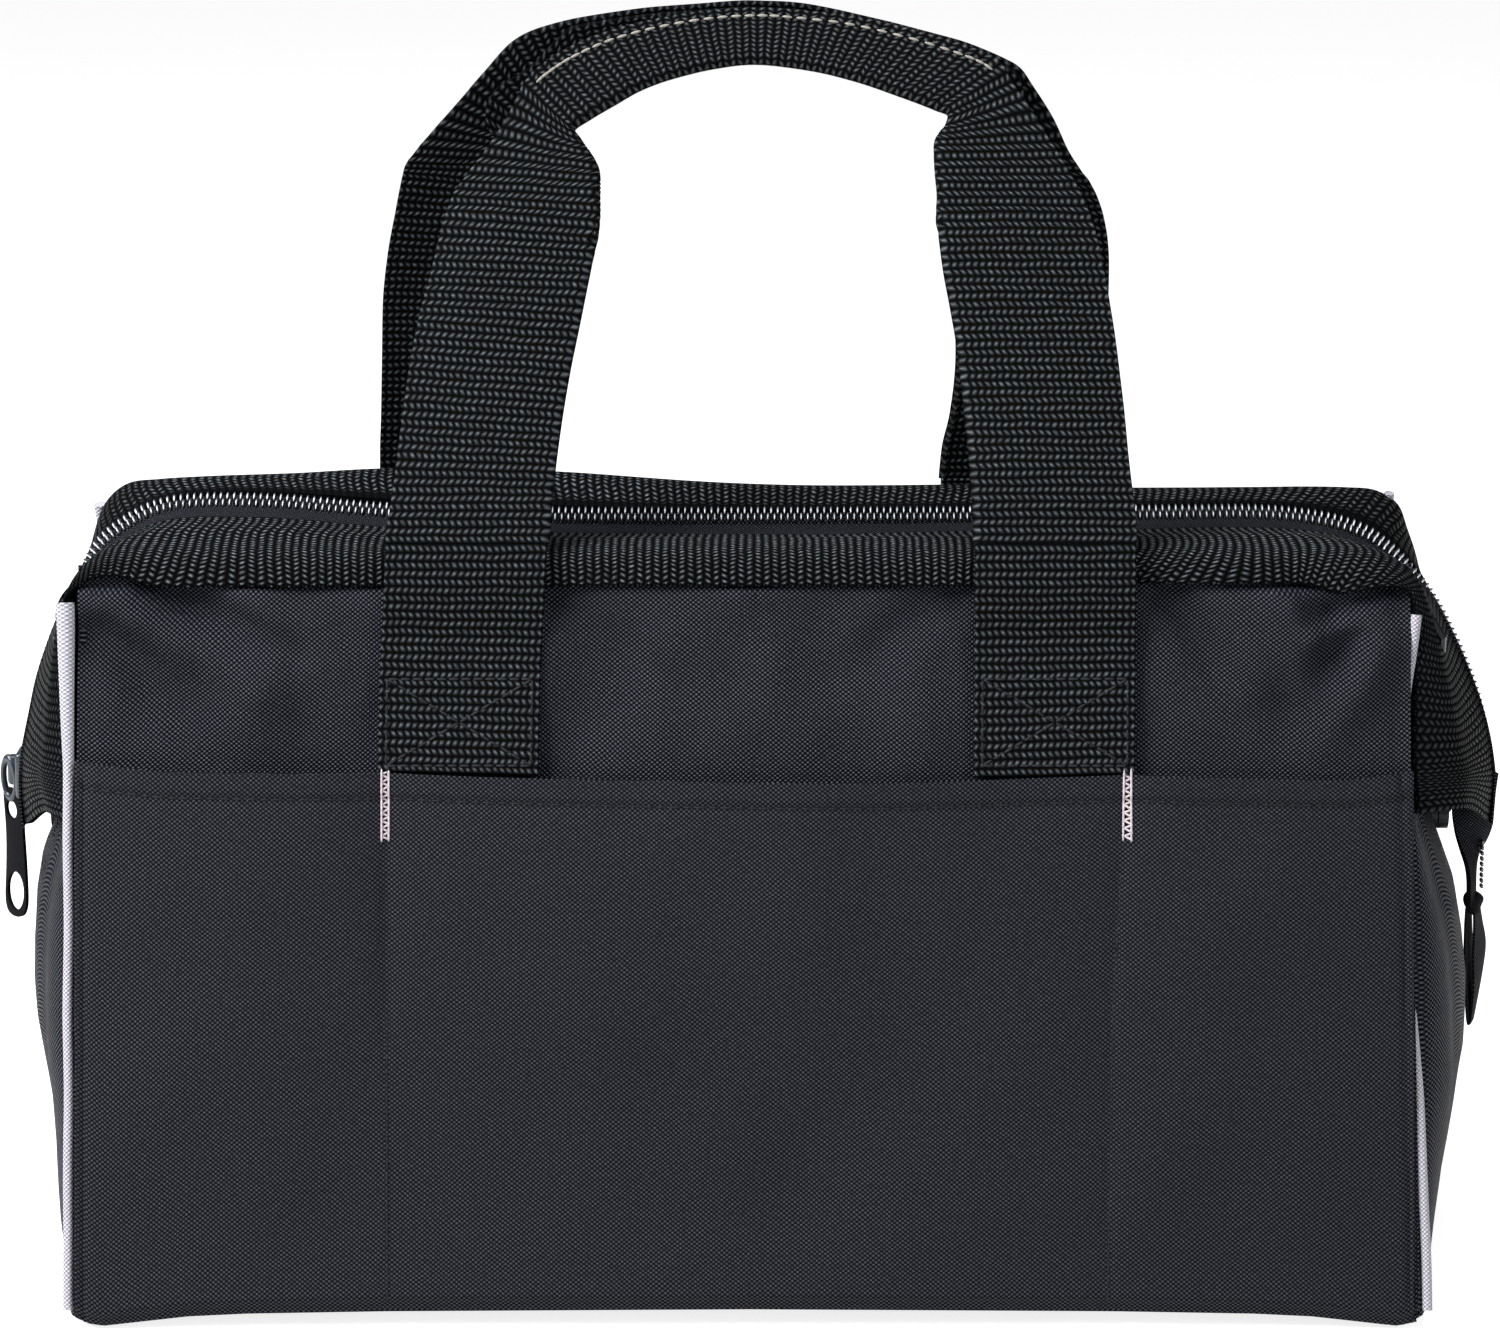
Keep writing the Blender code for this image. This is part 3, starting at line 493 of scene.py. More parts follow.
# Front pocket
# One piece of the same cloth across the front, hemmed along its top and sewn down at two dividers.
# It lies almost flat on the wall, and swells a little in each compartment.
POCKET_TOP = tenths((
    (-1604, 1288), (-1388, 1269), (-853, 1261), (-314, 1246), (356, 1242), (915, 1257), (1419, 1246), (1583, 1266),
))
LEFT_DIVIDER = tenths(((0, -860), (1260, -865)))
RIGHT_DIVIDER = tenths(((0, 848), (730, 862), (1260, 897)))
POCKET_CLOTH = 0.0009
POCKET_SIZE = (0.317, 0.129)
POCKET_LEFT = -0.1603
POCKET_LENGTH = 0.3178
POCKET_SWELL = 0.0022
POCKET_SOFTNESS = 0.0018
HEM = 0.0060


def pocket_depth(x, z):
    """The pocket's outer face, measured from the middle plane."""
    top = read_table(POCKET_TOP, x)
    edges = (-0.161, read_table(LEFT_DIVIDER, z), read_table(RIGHT_DIVIDER, z), 0.158)
    swell = 0.0
    for low, high in zip(edges, edges[1:]):
        if low < x < high:
            t = (x - low) / (high - low)
            swell = math.sin(math.pi * t) ** 0.5
    lift = 0.0004 + POCKET_SWELL * swell * ease(0.0, 0.11, z) + 0.0006 * swell
    soft = soft_noise(x * 14, z * 16, 1.7) + 0.5 * soft_noise(x * 40, z * 35, 9.0)
    lift += POCKET_SOFTNESS * soft * swell * ease(0.002, 0.03, z)
    hem = 0.0004 * (1 - ease(HEM - 0.0008, HEM, top - z)) - 0.0002 * bell(top - z - HEM, 0.0012)
    foot = -FOOT_TURN * (1 - ease(0.0, FOOT_TURN_HEIGHT, z - base_line(x))) - seam_groove(x, z)
    return wall_depth(z) + POCKET_CLOTH + lift + hem + foot


def pocket_point(u, v):
    x = POCKET_LEFT + POCKET_LENGTH * u
    foot = base_line(x) + 0.0003
    z = foot + (read_table(POCKET_TOP, x) - foot) * v
    return Vector((x, -pocket_depth(x, z), z))


pocket = lay_grid("pocket_cloth", 320, 150, pocket_point, *POCKET_SIZE)
thicken(pocket, POCKET_CLOTH, (0, -1, 0))
pocket.data.materials.append(pocket_polyester)
bend_with_gate(pocket, "front")
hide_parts("front_pocket")

# Stitching on the walls and pocket
# Black bonded thread in lock stitch, about 3 mm a stitch, along the pocket's hem and its dividers.
# Each stitch is a short rounded grain that dips into the cloth at both ends.
STITCH_LENGTH = 0.0026
THREAD_WIDTH = 0.0006
STITCH_LIFT = 0.00005
HEM_START = -0.157
HEM_PITCH = 0.00313
HEM_STITCHES = 100
DIVIDER_START = 0.004
DIVIDER_PITCH = 0.0030
DIVIDER_STITCHES = 36
# Bonded nylon thread: smooth, so it catches more light than the cloth.
black_thread = two_tone("bonded_black_thread", 0.55, "#0C0D10", "#1E2024", 2500.0, Specular_IOR_Level=0.2)
# Spun polyester thread: pale and matt.
pale_thread = two_tone("pale_polyester_thread", 0.6, "#8F858A", "#D8CED2", 2200.0)


def join_copies(name, shape, places, material):
    """Copies a small shape to every (place, X, Y and Z direction) and joins the copies into one piece."""
    vertices = [v.co.copy() for v in shape.data.vertices]
    faces = [tuple(p.vertices) for p in shape.data.polygons]
    bpy.data.objects.remove(shape)
    all_vertices, all_faces = [], []
    for place, along, side, outward in places:
        start = len(all_vertices)
        all_vertices.extend(place + along * v.x + side * v.y + outward * v.z for v in vertices)
        all_faces.extend(tuple(start + k for k in face) for face in faces)
    mesh = bpy.data.meshes.new(name)
    mesh.from_pydata(all_vertices, [], all_faces)
    piece = bpy.data.objects.new(name, mesh)
    bpy.context.scene.collection.objects.link(piece)
    mend_mesh(piece)
    bpy.ops.object.shade_smooth()
    mesh.materials.append(material)
    return piece


def add_shape(add, place, **settings):
    """A primitive, with its points moved to place(x, y, z)."""
    deselect()
    add(**settings)
    piece = bpy.context.object
    for vertex in piece.data.vertices:
        vertex.co = place(*vertex.co)
    return piece


def sew(name, stitches, length, width, material):
    """Joins stitches, each a ball primitive drawn out along X, at every (place, along, outward)."""
    grain = add_shape(bpy.ops.mesh.primitive_uv_sphere_add, lambda x, y, z: (z * length, y * width, x * width),
                      segments=6, ring_count=5, radius=0.5)
    places = [(place, along, outward.cross(along).normalized(), outward) for place, along, outward in stitches]
    return join_copies(name, grain, places, material)


def stitch_line(surface, start, end, pitch=1.0):
    """Stitches along a line on a surface(a, b) -> point, given in its own two measures. Without a pitch, just one."""
    stitches = []
    a, b = Vector(start), Vector(end)
    count = max(int((b - a).length / pitch), 1)
    edge = Vector((-(b - a).y, (b - a).x)).normalized() * 0.001
    for k in range(count):
        low = surface(*a.lerp(b, k / count))
        high = surface(*a.lerp(b, (k + 1) / count))
        along = (high - low).normalized()
        beside = surface(*(a.lerp(b, (k + 0.5) / count) + edge))
        middle = surface(*a.lerp(b, (k + 0.5) / count))
        outward = along.cross((beside - middle).normalized()).normalized()
        if outward.y * middle.y < 0:
            outward = -outward
        stitches.append((middle, along, outward))
    return stitches


def pocket_surface(x, z):
    return Vector((x, -pocket_depth(x, z) - STITCH_LIFT, z))


def hem_height(x):
    return read_table(POCKET_TOP, x) - HEM


hem_stitches = []
for k in range(HEM_STITCHES):
    a, b = HEM_START + HEM_PITCH * k, HEM_START + HEM_PITCH * (k + 0.9)
    hem_stitches += stitch_line(pocket_surface, (a, hem_height(a)), (b, hem_height(b)))
divider_stitches = []
for table in (LEFT_DIVIDER, RIGHT_DIVIDER):
    for k in range(DIVIDER_STITCHES):
        a, b = DIVIDER_START + DIVIDER_PITCH * k, DIVIDER_START + DIVIDER_PITCH * (k + 0.88)
        if b < 0.111:
            divider_stitches += stitch_line(pocket_surface, (read_table(table, a), a), (read_table(table, b), b))
for name, stitches in (("pocket_hem_stitches", hem_stitches), ("pocket_divider_stitches", divider_stitches)):
    row = sew(name, stitches, STITCH_LENGTH, THREAD_WIDTH, black_thread)
    bend_with_gate(row, "front")

# Bartacks
# Pale zigzag stitching that strengthens the top of each divider, one thick thread in close turns.
# Two straight rows of stitches run down inside the turns.
TACK_TOP = 0.1265
TACK_LENGTH = 0.0160
TACK_TURNS = 18
TACK_LEAN = 0.0010
TACK_LIFT = 0.0002
TACK_STITCH = 0.0025
RAIL_STITCHES = 12
RAIL_OFFSET = 0.0009
RAIL_STITCH = 0.0012
for end, x_top, x_foot in (("left", -0.0866, -0.0866), ("right", 0.0896, 0.0899)):
    zigzag = []
    for k in range(TACK_TURNS):
        z = TACK_TOP - TACK_LENGTH * k / TACK_TURNS
        z_next = TACK_TOP - TACK_LENGTH * (k + 1) / TACK_TURNS
        x = x_top + (x_foot - x_top) * k / TACK_TURNS
        lean = TACK_LEAN if k % 2 else -TACK_LEAN
        zigzag += stitch_line(pocket_surface, (x - lean, z), (x + lean, z_next))
    for k in range(RAIL_STITCHES):
        z = TACK_TOP - TACK_LENGTH * k / RAIL_STITCHES
        for rail in (x_top - RAIL_OFFSET, x_top + RAIL_OFFSET):
            zigzag += stitch_line(pocket_surface, (rail, z), (rail, z - RAIL_STITCH))
    raised = [(place + outward * TACK_LIFT, along, outward) for place, along, outward in zigzag]
    tack = sew(end + "_bartack_thread", raised, TACK_STITCH, THREAD_WIDTH, pale_thread)
    bend_with_gate(tack, "front")
    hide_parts(end + "_bartack")

# Mouth bands
# Ribbed black webbing folded over each frame wire: a flat top, a rounded ridge and a lip over the wall.
# Each band runs across the mouth, round the shoulder and down both ends as a free flap.
ZIP_LINE = tenths((
    (-1790, 1010), (-1794, 1080), (-1793, 1160), (-1784, 1240), (-1766, 1320), (-1744, 1410), (-1715, 1490),
    (-1680, 1570), (-1642, 1640), (-1597, 1710), (-1530, 1764), (-1450, 1805), (-1350, 1821), (-1150, 1819),
    (-885, 1798), (-500, 1787), (0, 1786), (500, 1788), (1000, 1792), (1225, 1793), (1343, 1785), (1432, 1769),
    (1501, 1745), (1551, 1715), (1600, 1676), (1672, 1597), (1734, 1486), (1780, 1380), (1808, 1290), (1823, 1210),
    (1830, 1130), (1826, 1020),
))
FRONT_RIDGE = tenths((
    (-1698, 1010), (-1706, 1080), (-1709, 1160), (-1707, 1240), (-1698, 1320), (-1686, 1410), (-1672, 1490),
    (-1656, 1570), (-1638, 1640), (-1610, 1705), (-1560, 1758), (-1480, 1783), (-1360, 1787), (-1150, 1786),
    (-885, 1785), (-500, 1785), (0, 1785), (500, 1785), (1000, 1785), (1235, 1785), (1370, 1782), (1470, 1772),
    (1545, 1745), (1590, 1705), (1612, 1660), (1640, 1570), (1668, 1470), (1696, 1370), (1716, 1290), (1730, 1210),
    (1736, 1130), (1732, 1020),
))
REAR_RIDGE = FRONT_RIDGE[:7] + tenths((
    (-1668, 1580), (-1653, 1665), (-1620, 1747), (-1562, 1796), (-1480, 1807), (-1360, 1814), (-1150, 1821),
    (-885, 1837), (-500, 1827), (0, 1795), (500, 1791), (1000, 1785), (1235, 1784), (1390, 1787), (1500, 1787),
    (1575, 1780), (1632, 1744), (1655, 1682), (1678, 1590),
)) + FRONT_RIDGE[26:]
LIP_LINE = tenths((
    (-1630, 1010), (-1630, 1080), (-1630, 1160), (-1630, 1240), (-1630, 1320), (-1631, 1410), (-1632, 1490),
    (-1635, 1560), (-1638, 1620), (-1618, 1668), (-1570, 1705), (-1500, 1712), (-1400, 1689), (-1150, 1688),
    (-885, 1688), (-500, 1688), (0, 1689), (500, 1690), (924, 1694), (1240, 1696), (1335, 1690), (1402, 1671),
    (1475, 1683), (1530, 1687), (1564, 1672), (1580, 1600), (1580, 1490), (1579, 1390), (1579, 1300), (1580, 1225),
    (1583, 1160), (1588, 1030),
))
RIDGES = {"front": FRONT_RIDGE, "rear": REAR_RIDGE}
# Across the band: the depth from the middle plane, the share of the way from the zip to the ridge, and from
# the ridge to the lip.
BAND_PROFILE = (
    (0.0150, 0.14, 0.0), (0.0180, 0.26, 0.0), (0.0235, 0.45, 0.0), (0.0300, 0.72, 0.0), (0.0345, 0.93, 0.01),
    (0.0368, 1.0, 0.06), (0.0384, 1.0, 0.18), (0.0391, 1.0, 0.38), (0.0391, 1.0, 0.66), (0.0388, 1.0, 1.0),
)
BAND_STEPS = 420
BAND_WIDTH = 0.037
BAND_WEBBING = 0.0014
LIP_DEPTH = 0.0412
ZIP_DIP = 0.0019
PICK_PITCH = 0.0010
PICK_LENGTH = 0.0009
PICK_WIDTH = 0.0005
PICK_LIFT = 0.0001


def curve_at(table, share):
    """A smooth curve through a table's points, read at a share of its count."""
    place = share * (len(table) - 1)
    k = min(int(place), len(table) - 2)
    t = place - k
    a, b, c, d = (Vector(table[min(max(k + j, 0), len(table) - 1)]) for j in (-1, 0, 1, 2))
    bend = (2 * a - 5 * b + 4 * c - d) * t**2 + (3 * b - a - 3 * c + d) * t**3
    return (2 * b + (c - a) * t + bend) / 2


def even_shares(table, count, samples=2000):
    """Shares of a curve that are evenly spaced along its length, and that length."""
    points = [curve_at(table, k / samples) for k in range(samples + 1)]
    reach = [0.0]
    for a, b in zip(points, points[1:]):
        reach.append(reach[-1] + (b - a).length)
    shares, k = [], 0
    for step in range(count + 1):
        target = reach[-1] * step / count
        while k < samples - 1 and reach[k + 1] < target:
            k += 1
        shares.append((k + (target - reach[k]) / max(reach[k + 1] - reach[k], 1e-9)) / samples)
    return shares, reach[-1]


BAND_SHARES, BAND_RUN = even_shares(ZIP_LINE, BAND_STEPS)


def foot_lift(height, depth):
    """The flaps are cut short at their feet, and more so towards the front and rear."""
    return (0.0026 + 0.0114 * ease(0.010, 0.046, depth)) * (1 - ease(0.101, 0.130, height))


def on_top(height):
    """0 on the flaps, and 1 along the top of the mouth."""
    return ease(0.160, 0.177, height)


def band_point(side, u, v):
    """u runs along the mouth from the left foot to the right one, v from the zip over the ridge to the lip."""
    share = BAND_SHARES[round(u * BAND_STEPS)]
    zip_at, ridge_at, lip_at = (curve_at(line, share) for line in (ZIP_LINE, RIDGES[side], LIP_LINE))
    depth, outwards, down = curve_at(BAND_PROFILE, v)
    at = zip_at.lerp(ridge_at, min(outwards, 1.0))
    at = at + (lip_at - ridge_at) * down
    soft = soft_noise(at.x * 28, depth * 60 * SIDES[side], at.y * 28)
    edge = soft_noise(at.x * 60, 4.0 * SIDES[side], at.y * 60)
    inward = Vector((-at.x, 0.12 - at.y)).normalized()
    at = at + inward * (0.0005 * soft + ZIP_DIP * (1 - ease(0.016, 0.030, depth)) * on_top(at.y))
    at.y += foot_lift(at.y, depth)
    depth += max(wall_depth(at.y) - LIP_DEPTH, 0.0) * down
    depth += 0.0006 * edge * ease(0.6, 1.0, v) - 0.0005 * edge * (1 - ease(0.0, 0.12, v))
    return Vector((at.x, SIDES[side] * depth, at.y))


def wave_of(material, value, low, high):
    """A soft-edged bump that repeats once per unit of value: 0 at its borders, 1 in its middle."""
    fold = calculate(material, "PINGPONG", value, 0.5)
    return remap(material, fold, low / 2, high / 2, interpolation_type="SMOOTHSTEP")


def dashed_webbing(name, across, along, pitch, row, slant, stagger, codes, dash_edges, row_edges, open_edge=0.0):
    """Webbing whose floats show as short slanted dashes in rows, each row leaning against the one before.
    With an open edge, painted shade darkens the floats towards that side of the band, where it folds in beside the zip,
    and darkens them on its flaps."""
    material, shader = new_material(name, 0.55)
    uv, measures = wandering_weave(material, 160.0, 0.0007)
    rows = calculate(material, "DIVIDE", measures[along], row)
    whole = calculate(material, "FLOOR", rows)
    odd = calculate(material, "FLOORED_MODULO", whole, 2.0)
    lean = calculate(material, "MULTIPLY_ADD", odd, -2 * slant, slant)
    columns = calculate(material, "DIVIDE", measures[across], pitch)
    stepped = calculate(material, "MULTIPLY_ADD", whole, stagger, columns)
    leaning = calculate(material, "MULTIPLY_ADD", calculate(material, "FRACT", rows), lean, stepped)
    dash = wave_of(material, leaning, *dash_edges)
    line = wave_of(material, rows, *row_edges)
    if open_edge:
        # Painted shade: next to the zip the floats fall to a tenth of their colour, where the band folds in out of the
        # light.
        selvedge = remap(material, measures["Y"], open_edge, open_edge * 1.5, 0.1, 1.0)
        dash = calculate(material, "MULTIPLY", dash, selvedge)
        # Painted shade: on the flaps, up to 70 to 95 mm from either foot, the floats are dimmed to about half.
        from_foot = calculate(material, "PINGPONG", measures["X"], BAND_RUN / 2)
        dash = calculate(material, "MULTIPLY", dash, remap(material, from_foot, 0.070, 0.095, 0.55, 1.0))
    crown = calculate(material, "MULTIPLY", dash, line)
    shade = shade_yarn(material, uv, crown, 700.0, 0.45, 1.15)
    colour_ramp(material, shader, shade, (0.02, 0.45, 1.0), codes)
    connect(shader, "Specular IOR Level", calculate(material, "MULTIPLY", crown, 0.30))
    link_bump(material, shader, crown, 0.0004)
    return material


# Polypropylene webbing: rows of short slanted floats, 2 mm apart along the band, black with a grey glint.
# The rear band's painted shade beside the zip is wider than the front band's.
band_webbing = {
    side: dashed_webbing(side + "_ribbed_polypropylene_webbing", "Y", "X", 0.0017, 0.0020, 0.6, 0.0,
                         ("#08090A", "#1D2022", "#72787C"), (0.10, 0.92), (0.05, 0.88), open_edge)
    for side, open_edge in (("front", 0.0006), ("rear", 0.0042))}
for side in SIDES:
    band = lay_grid(side + "_mouth_band", BAND_STEPS, 27, lambda u, v: band_point(side, u, v), BAND_RUN, BAND_WIDTH)
    thicken(band, BAND_WEBBING, (0, 0, 1))
    band.data.materials.append(band_webbing[side])
    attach(band, side + "_gate")
    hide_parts(side + "_band")

# The band's woven edge: small bright picks, 1 mm apart, along the whole lip.
for side in SIDES:
    picks = []
    count = int(BAND_RUN / PICK_PITCH)
    edge_points, above = ([band_point(side, k / BAND_STEPS, v) for k in range(BAND_STEPS + 1)] for v in (0.985, 0.93))
    for k in range(count):
        place = (k + 0.5) / count * BAND_STEPS
        j = min(int(place), BAND_STEPS - 1)
        at = edge_points[j].lerp(edge_points[j + 1], place - j)
        down = (edge_points[j] - above[j]).normalized()
        outward = (edge_points[j + 1] - edge_points[j]).normalized().cross(down)
        if outward.y * SIDES[side] < 0:
            outward = -outward
        picks.append((at + outward * PICK_LIFT, down, outward))
    selvedge = sew(side + "_band_edge_picks", picks, PICK_LENGTH, PICK_WIDTH, band_webbing[side])
    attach(selvedge, side + "_gate")

# Zip
# A black nylon coil zip: two woven tapes, each with a coil sewn along its edge, meeting in the middle of the mouth.
# The coil is one filament whose turns lock between each other, so its heads stand in two staggered rows.
TAPE_EDGE = 0.0002
TAPE_REACH = 0.0168
TAPE_THICKNESS = 0.0005
TAPE_WIDTH = 0.013
TOOTH_PITCH = 0.00162
TURN_WIDTH = 0.00078
TURN_LENGTH = 0.0042
TURN_HEIGHT = 0.0026
TURN_DROOP = 0.0003


def tape_point(side, u, v):
    at = curve_at(ZIP_LINE, BAND_SHARES[round(u * BAND_STEPS)])
    depth = TAPE_EDGE + (TAPE_REACH - TAPE_EDGE) * v
    inward = Vector((-at.x, 0.10 - at.y)).normalized()
    dip = 0.0014 * ease(0.0024, 0.0040, depth) + (ZIP_DIP - 0.0006) * ease(0.004, 0.014, depth)
    at = at + inward * (0.0004 + dip * on_top(at.y) + 0.0006 * ease(0.003, 0.005, depth))
    return Vector((at.x, SIDES[side] * depth, at.y + foot_lift(at.y, 0.0)))


# Zip tape: fine polyester herringbone, flat black.
zip_tape_cloth = woven_cloth("zip_tape_polyester", 0.0010, 0.0008, ("#08090A", "#111216", "#30333C"), 0.00006, 0.75)
# Nylon filament: glossy black, with a painted pale highlight on the up-facing shoulders of its turns.
coil_nylon, coil_shader = new_material("black_nylon_coil", 0.3, Specular_IOR_Level=0.9, Coat_Weight=0.8,
                                       Coat_Roughness=0.2)
coil_place = add_node(coil_nylon, "ShaderNodeTexCoord").outputs
coil_facing = add_node(coil_nylon, "ShaderNodeSeparateXYZ", {0: coil_place["Normal"]}).outputs
# Painted highlight: faces turned up and towards the front or rear are mixed towards pale grey, broken up by noise.
upward_glint = remap(coil_nylon, coil_facing["Z"], 0.3, 0.6, 0.0, 1.8)
shoulder = remap(coil_nylon, calculate(coil_nylon, "ABSOLUTE", coil_facing["Y"]), 0.15, 0.5)
painted_glint = calculate(coil_nylon, "MULTIPLY", mottle(coil_nylon, coil_place["Object"], 900.0), upward_glint)
mix_tones(coil_nylon, coil_shader, calculate(coil_nylon, "MULTIPLY", painted_glint, shoulder), "#141518", "#D8DEE8")


def turn_point(x, y, z):
    """One turn is a short rod across the zip, bent down at both ends, with a wider head."""
    bulk = 1.0 + 0.25 * ease(0.1, 0.4, -z)
    droop = TURN_DROOP * (z * TURN_LENGTH / 0.0017) ** 2
    return x * TURN_WIDTH * bulk, z * TURN_LENGTH, y * TURN_HEIGHT - droop


def lay_turns(name, side, first, last):
    """Copies one turn along the zip's line, from one share of its length to another."""
    turn = add_shape(bpy.ops.mesh.primitive_uv_sphere_add, turn_point, segments=8, ring_count=7, radius=0.5)
    count = int(BAND_RUN / TOOTH_PITCH)
    shares = even_shares(ZIP_LINE, count * 2)[0]
    middle, raised, row = (-0.0022, 0.0005, 0) if side == "front" else (0.0012, -0.0004, 1)
    places = []
    for step in range(row, 2 * count, 2):
        if not first <= step / (2 * count) <= last:
            continue
        share = shares[step]
        at = curve_at(ZIP_LINE, share)
        ahead = curve_at(ZIP_LINE, min(share + 0.001, 1.0)) - curve_at(ZIP_LINE, max(share - 0.001, 0.0))
        along = Vector((ahead.x, 0, ahead.y)).normalized()
        outward = Vector((-along.z, 0, along.x))
        sink = 0.0010 - 0.0010 * on_top(at.y) + raised * on_top(at.y)
        centre = Vector((at.x, middle, at.y + foot_lift(at.y, 0.0))) - outward * sink
        along = (along + Vector((0, 0.35, 0))).normalized()
        places.append((centre, along, Vector((0, SIDES[side], 0)), outward))
    return join_copies(name, turn, places, coil_nylon)


for side in SIDES:
    tape = lay_grid(side + "_tape_cloth", BAND_STEPS, 14, lambda u, v: tape_point(side, u, v), BAND_RUN, TAPE_WIDTH)
    thicken(tape, TAPE_THICKNESS, (0, 0, 1))
    tape.data.materials.append(zip_tape_cloth)
    coil = lay_turns(side + "_coil_turns", side, 0.03, 0.995)
    for piece, node in ((tape, "_zip_tape"), (coil, "_zip_coil")):
        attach(piece, side + "_gate")
        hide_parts(side + node)
lower_turns = lay_turns("left_end_turns", "front", 0.0, 0.028)
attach(lower_turns, "bag_body")
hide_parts("left_zip_end")

# Handle straps
# Flat black webbing 38 mm wide. Each foot is sewn to the wall with a box and a cross, and climbs over the band.
STRAP_WIDTH = 0.0382
STRAP_THICKNESS = 0.0018
STRAP_HEAD = 0.1806
STRAP_EDGE = 0.0004
STRAP_CENTRES = {
    ("front", "left"): ((0.126, -0.0692), (0.150, -0.0688), (0.1800, -0.0671)),
    ("front", "right"): ((0.126, 0.0723), (0.150, 0.0724), (0.1800, 0.0724)),
    ("rear", "left"): ((0.126, -0.0741), (0.1800, -0.0741)),
    ("rear", "right"): ((0.126, 0.0672), (0.1800, 0.0671)),
}
STRAP_DEPTH = tenths((
    (1240, 512), (1500, 450), (1580, 434), (1640, 432), (1700, 430), (1745, 424), (1780, 420), (1793, 418),
    (1800, 414), (1806, 406),
))
# The sewn box: half its width, and its foot and head.
BOX_REACH, BOX_FOOT, BOX_HEAD = 0.0172, 0.1278, 0.1478
BOX_CORNERS = ((-BOX_REACH, BOX_FOOT), (BOX_REACH, BOX_FOOT), (BOX_REACH, BOX_HEAD), (-BOX_REACH, BOX_HEAD))
BOX_LINES = ((0, 1), (1, 2), (2, 3), (3, 0), (0, 2), (1, 3))
BOX_PITCH = 0.0027
BOX_STITCH = 0.0025
BOX_THREAD = 0.0007
STRAP_RUN = 0.055


def strap_surface(side, end, across, z):
    """The strap's outer face: across is measured from its middle line, in metres."""
    x = read_table(STRAP_CENTRES[side, end], z) + across
    soft = soft_noise(across * 40, z * 30, SIDES[side] + 2 * ENDS[end])
    depth = read_table(STRAP_DEPTH, z) + 0.0004 * soft * ease(0.125, 0.14, z) * (1 - ease(0.172, 0.18, z))
    return Vector((x, SIDES[side] * depth, z))


def strap_foot_height(side, x):
    return read_table(POCKET_TOP, x) + 0.0003 if side == "front" else 0.1262


# Polypropylene webbing: floats 1.6 mm wide in rows 2 mm apart, deep dark gaps, and a waxy glint.
strap_webbing = dashed_webbing("handle_polypropylene_webbing", "X", "Y", 0.00162, 0.0020, 0.55, 0.5,
                               ("#070809", "#14171A", "#4F5559"), (0.0, 0.85), (0.05, 0.95))
for (side, end), centres in STRAP_CENTRES.items():
    def strap_point(u, v):
        across = STRAP_WIDTH * (u - 0.5)
        foot = strap_foot_height(side, centres[0][1] + across)
        return strap_surface(side, end, across, foot + (STRAP_HEAD - foot) * v)

    strap = lay_grid(f"{side}_{end}_strap", 24, 50, strap_point, STRAP_WIDTH, STRAP_RUN)
    thicken(strap, STRAP_THICKNESS, (0, SIDES[side], 0))
    apply_change(strap, "BEVEL", width=STRAP_EDGE, segments=2, limit_method="ANGLE", angle_limit=math.radians(50))
    strap.data.materials.append(strap_webbing)
    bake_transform(strap)
    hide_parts(f"{side}_{end}_strap_end", f"{side}_{end}_strap_wrap")
    cross_stitches = []
    for a, b in BOX_LINES:
        cross_stitches += stitch_line(
            lambda p, q: strap_surface(side, end, p, q), BOX_CORNERS[a], BOX_CORNERS[b], BOX_PITCH)
    cross = sew(f"{side}_{end}_box_stitches", cross_stitches, BOX_STITCH, BOX_THREAD, black_thread)
    bend_with_gate(cross, side)

# Handles
# Each handle is the same webbing, flat on its legs and folded lengthwise along the grip.
# The grip is sewn shut with an off-white thread near its upper edge.
# Each row has its inner edge's x and z, and its outer edge's x and z.
FRONT_ROWS = tenths((
    (-479, 1796, -863, 1796), (-477, 1830, -860, 1830), (-473, 1890, -850, 1890), (-466, 1963, -838, 1974),
    (-451, 2074, -823, 2096), (-432, 2184, -806, 2207), (-409, 2295, -784, 2317), (-386, 2406, -757, 2417),
    (-368, 2495, -732, 2517), (-357, 2573, -706, 2593), (-355, 2623, -671, 2642), (-360, 2656, -631, 2693),
    (-378, 2686, -597, 2742), (-401, 2714, -562, 2801), (-418, 2740, -536, 2853), (-378, 2768, -496, 2892),
    (-320, 2801, -436, 2929), (-251, 2838, -343, 2967), (-170, 2865, -228, 2996), (-78, 2885, -107, 3015),
    (6, 2894, 6, 3022), (87, 2888, 110, 3018), (179, 2873, 243, 3003), (272, 2849, 376, 2975), (364, 2818, 503, 2939),
    (433, 2793, 589, 2903), (469, 2778, 624, 2851), (464, 2749, 652, 2812), (450, 2734, 678, 2773),
    (438, 2712, 710, 2723), (438, 2662, 746, 2667), (444, 2595, 787, 2595), (451, 2517, 818, 2517),
    (464, 2417, 841, 2417), (481, 2328, 857, 2328), (496, 2240, 870, 2240), (512, 2107, 886, 2107),
    (525, 1974, 899, 1974), (531, 1890, 909, 1890), (533, 1830, 915, 1830), (533, 1796, 915, 1796),
))
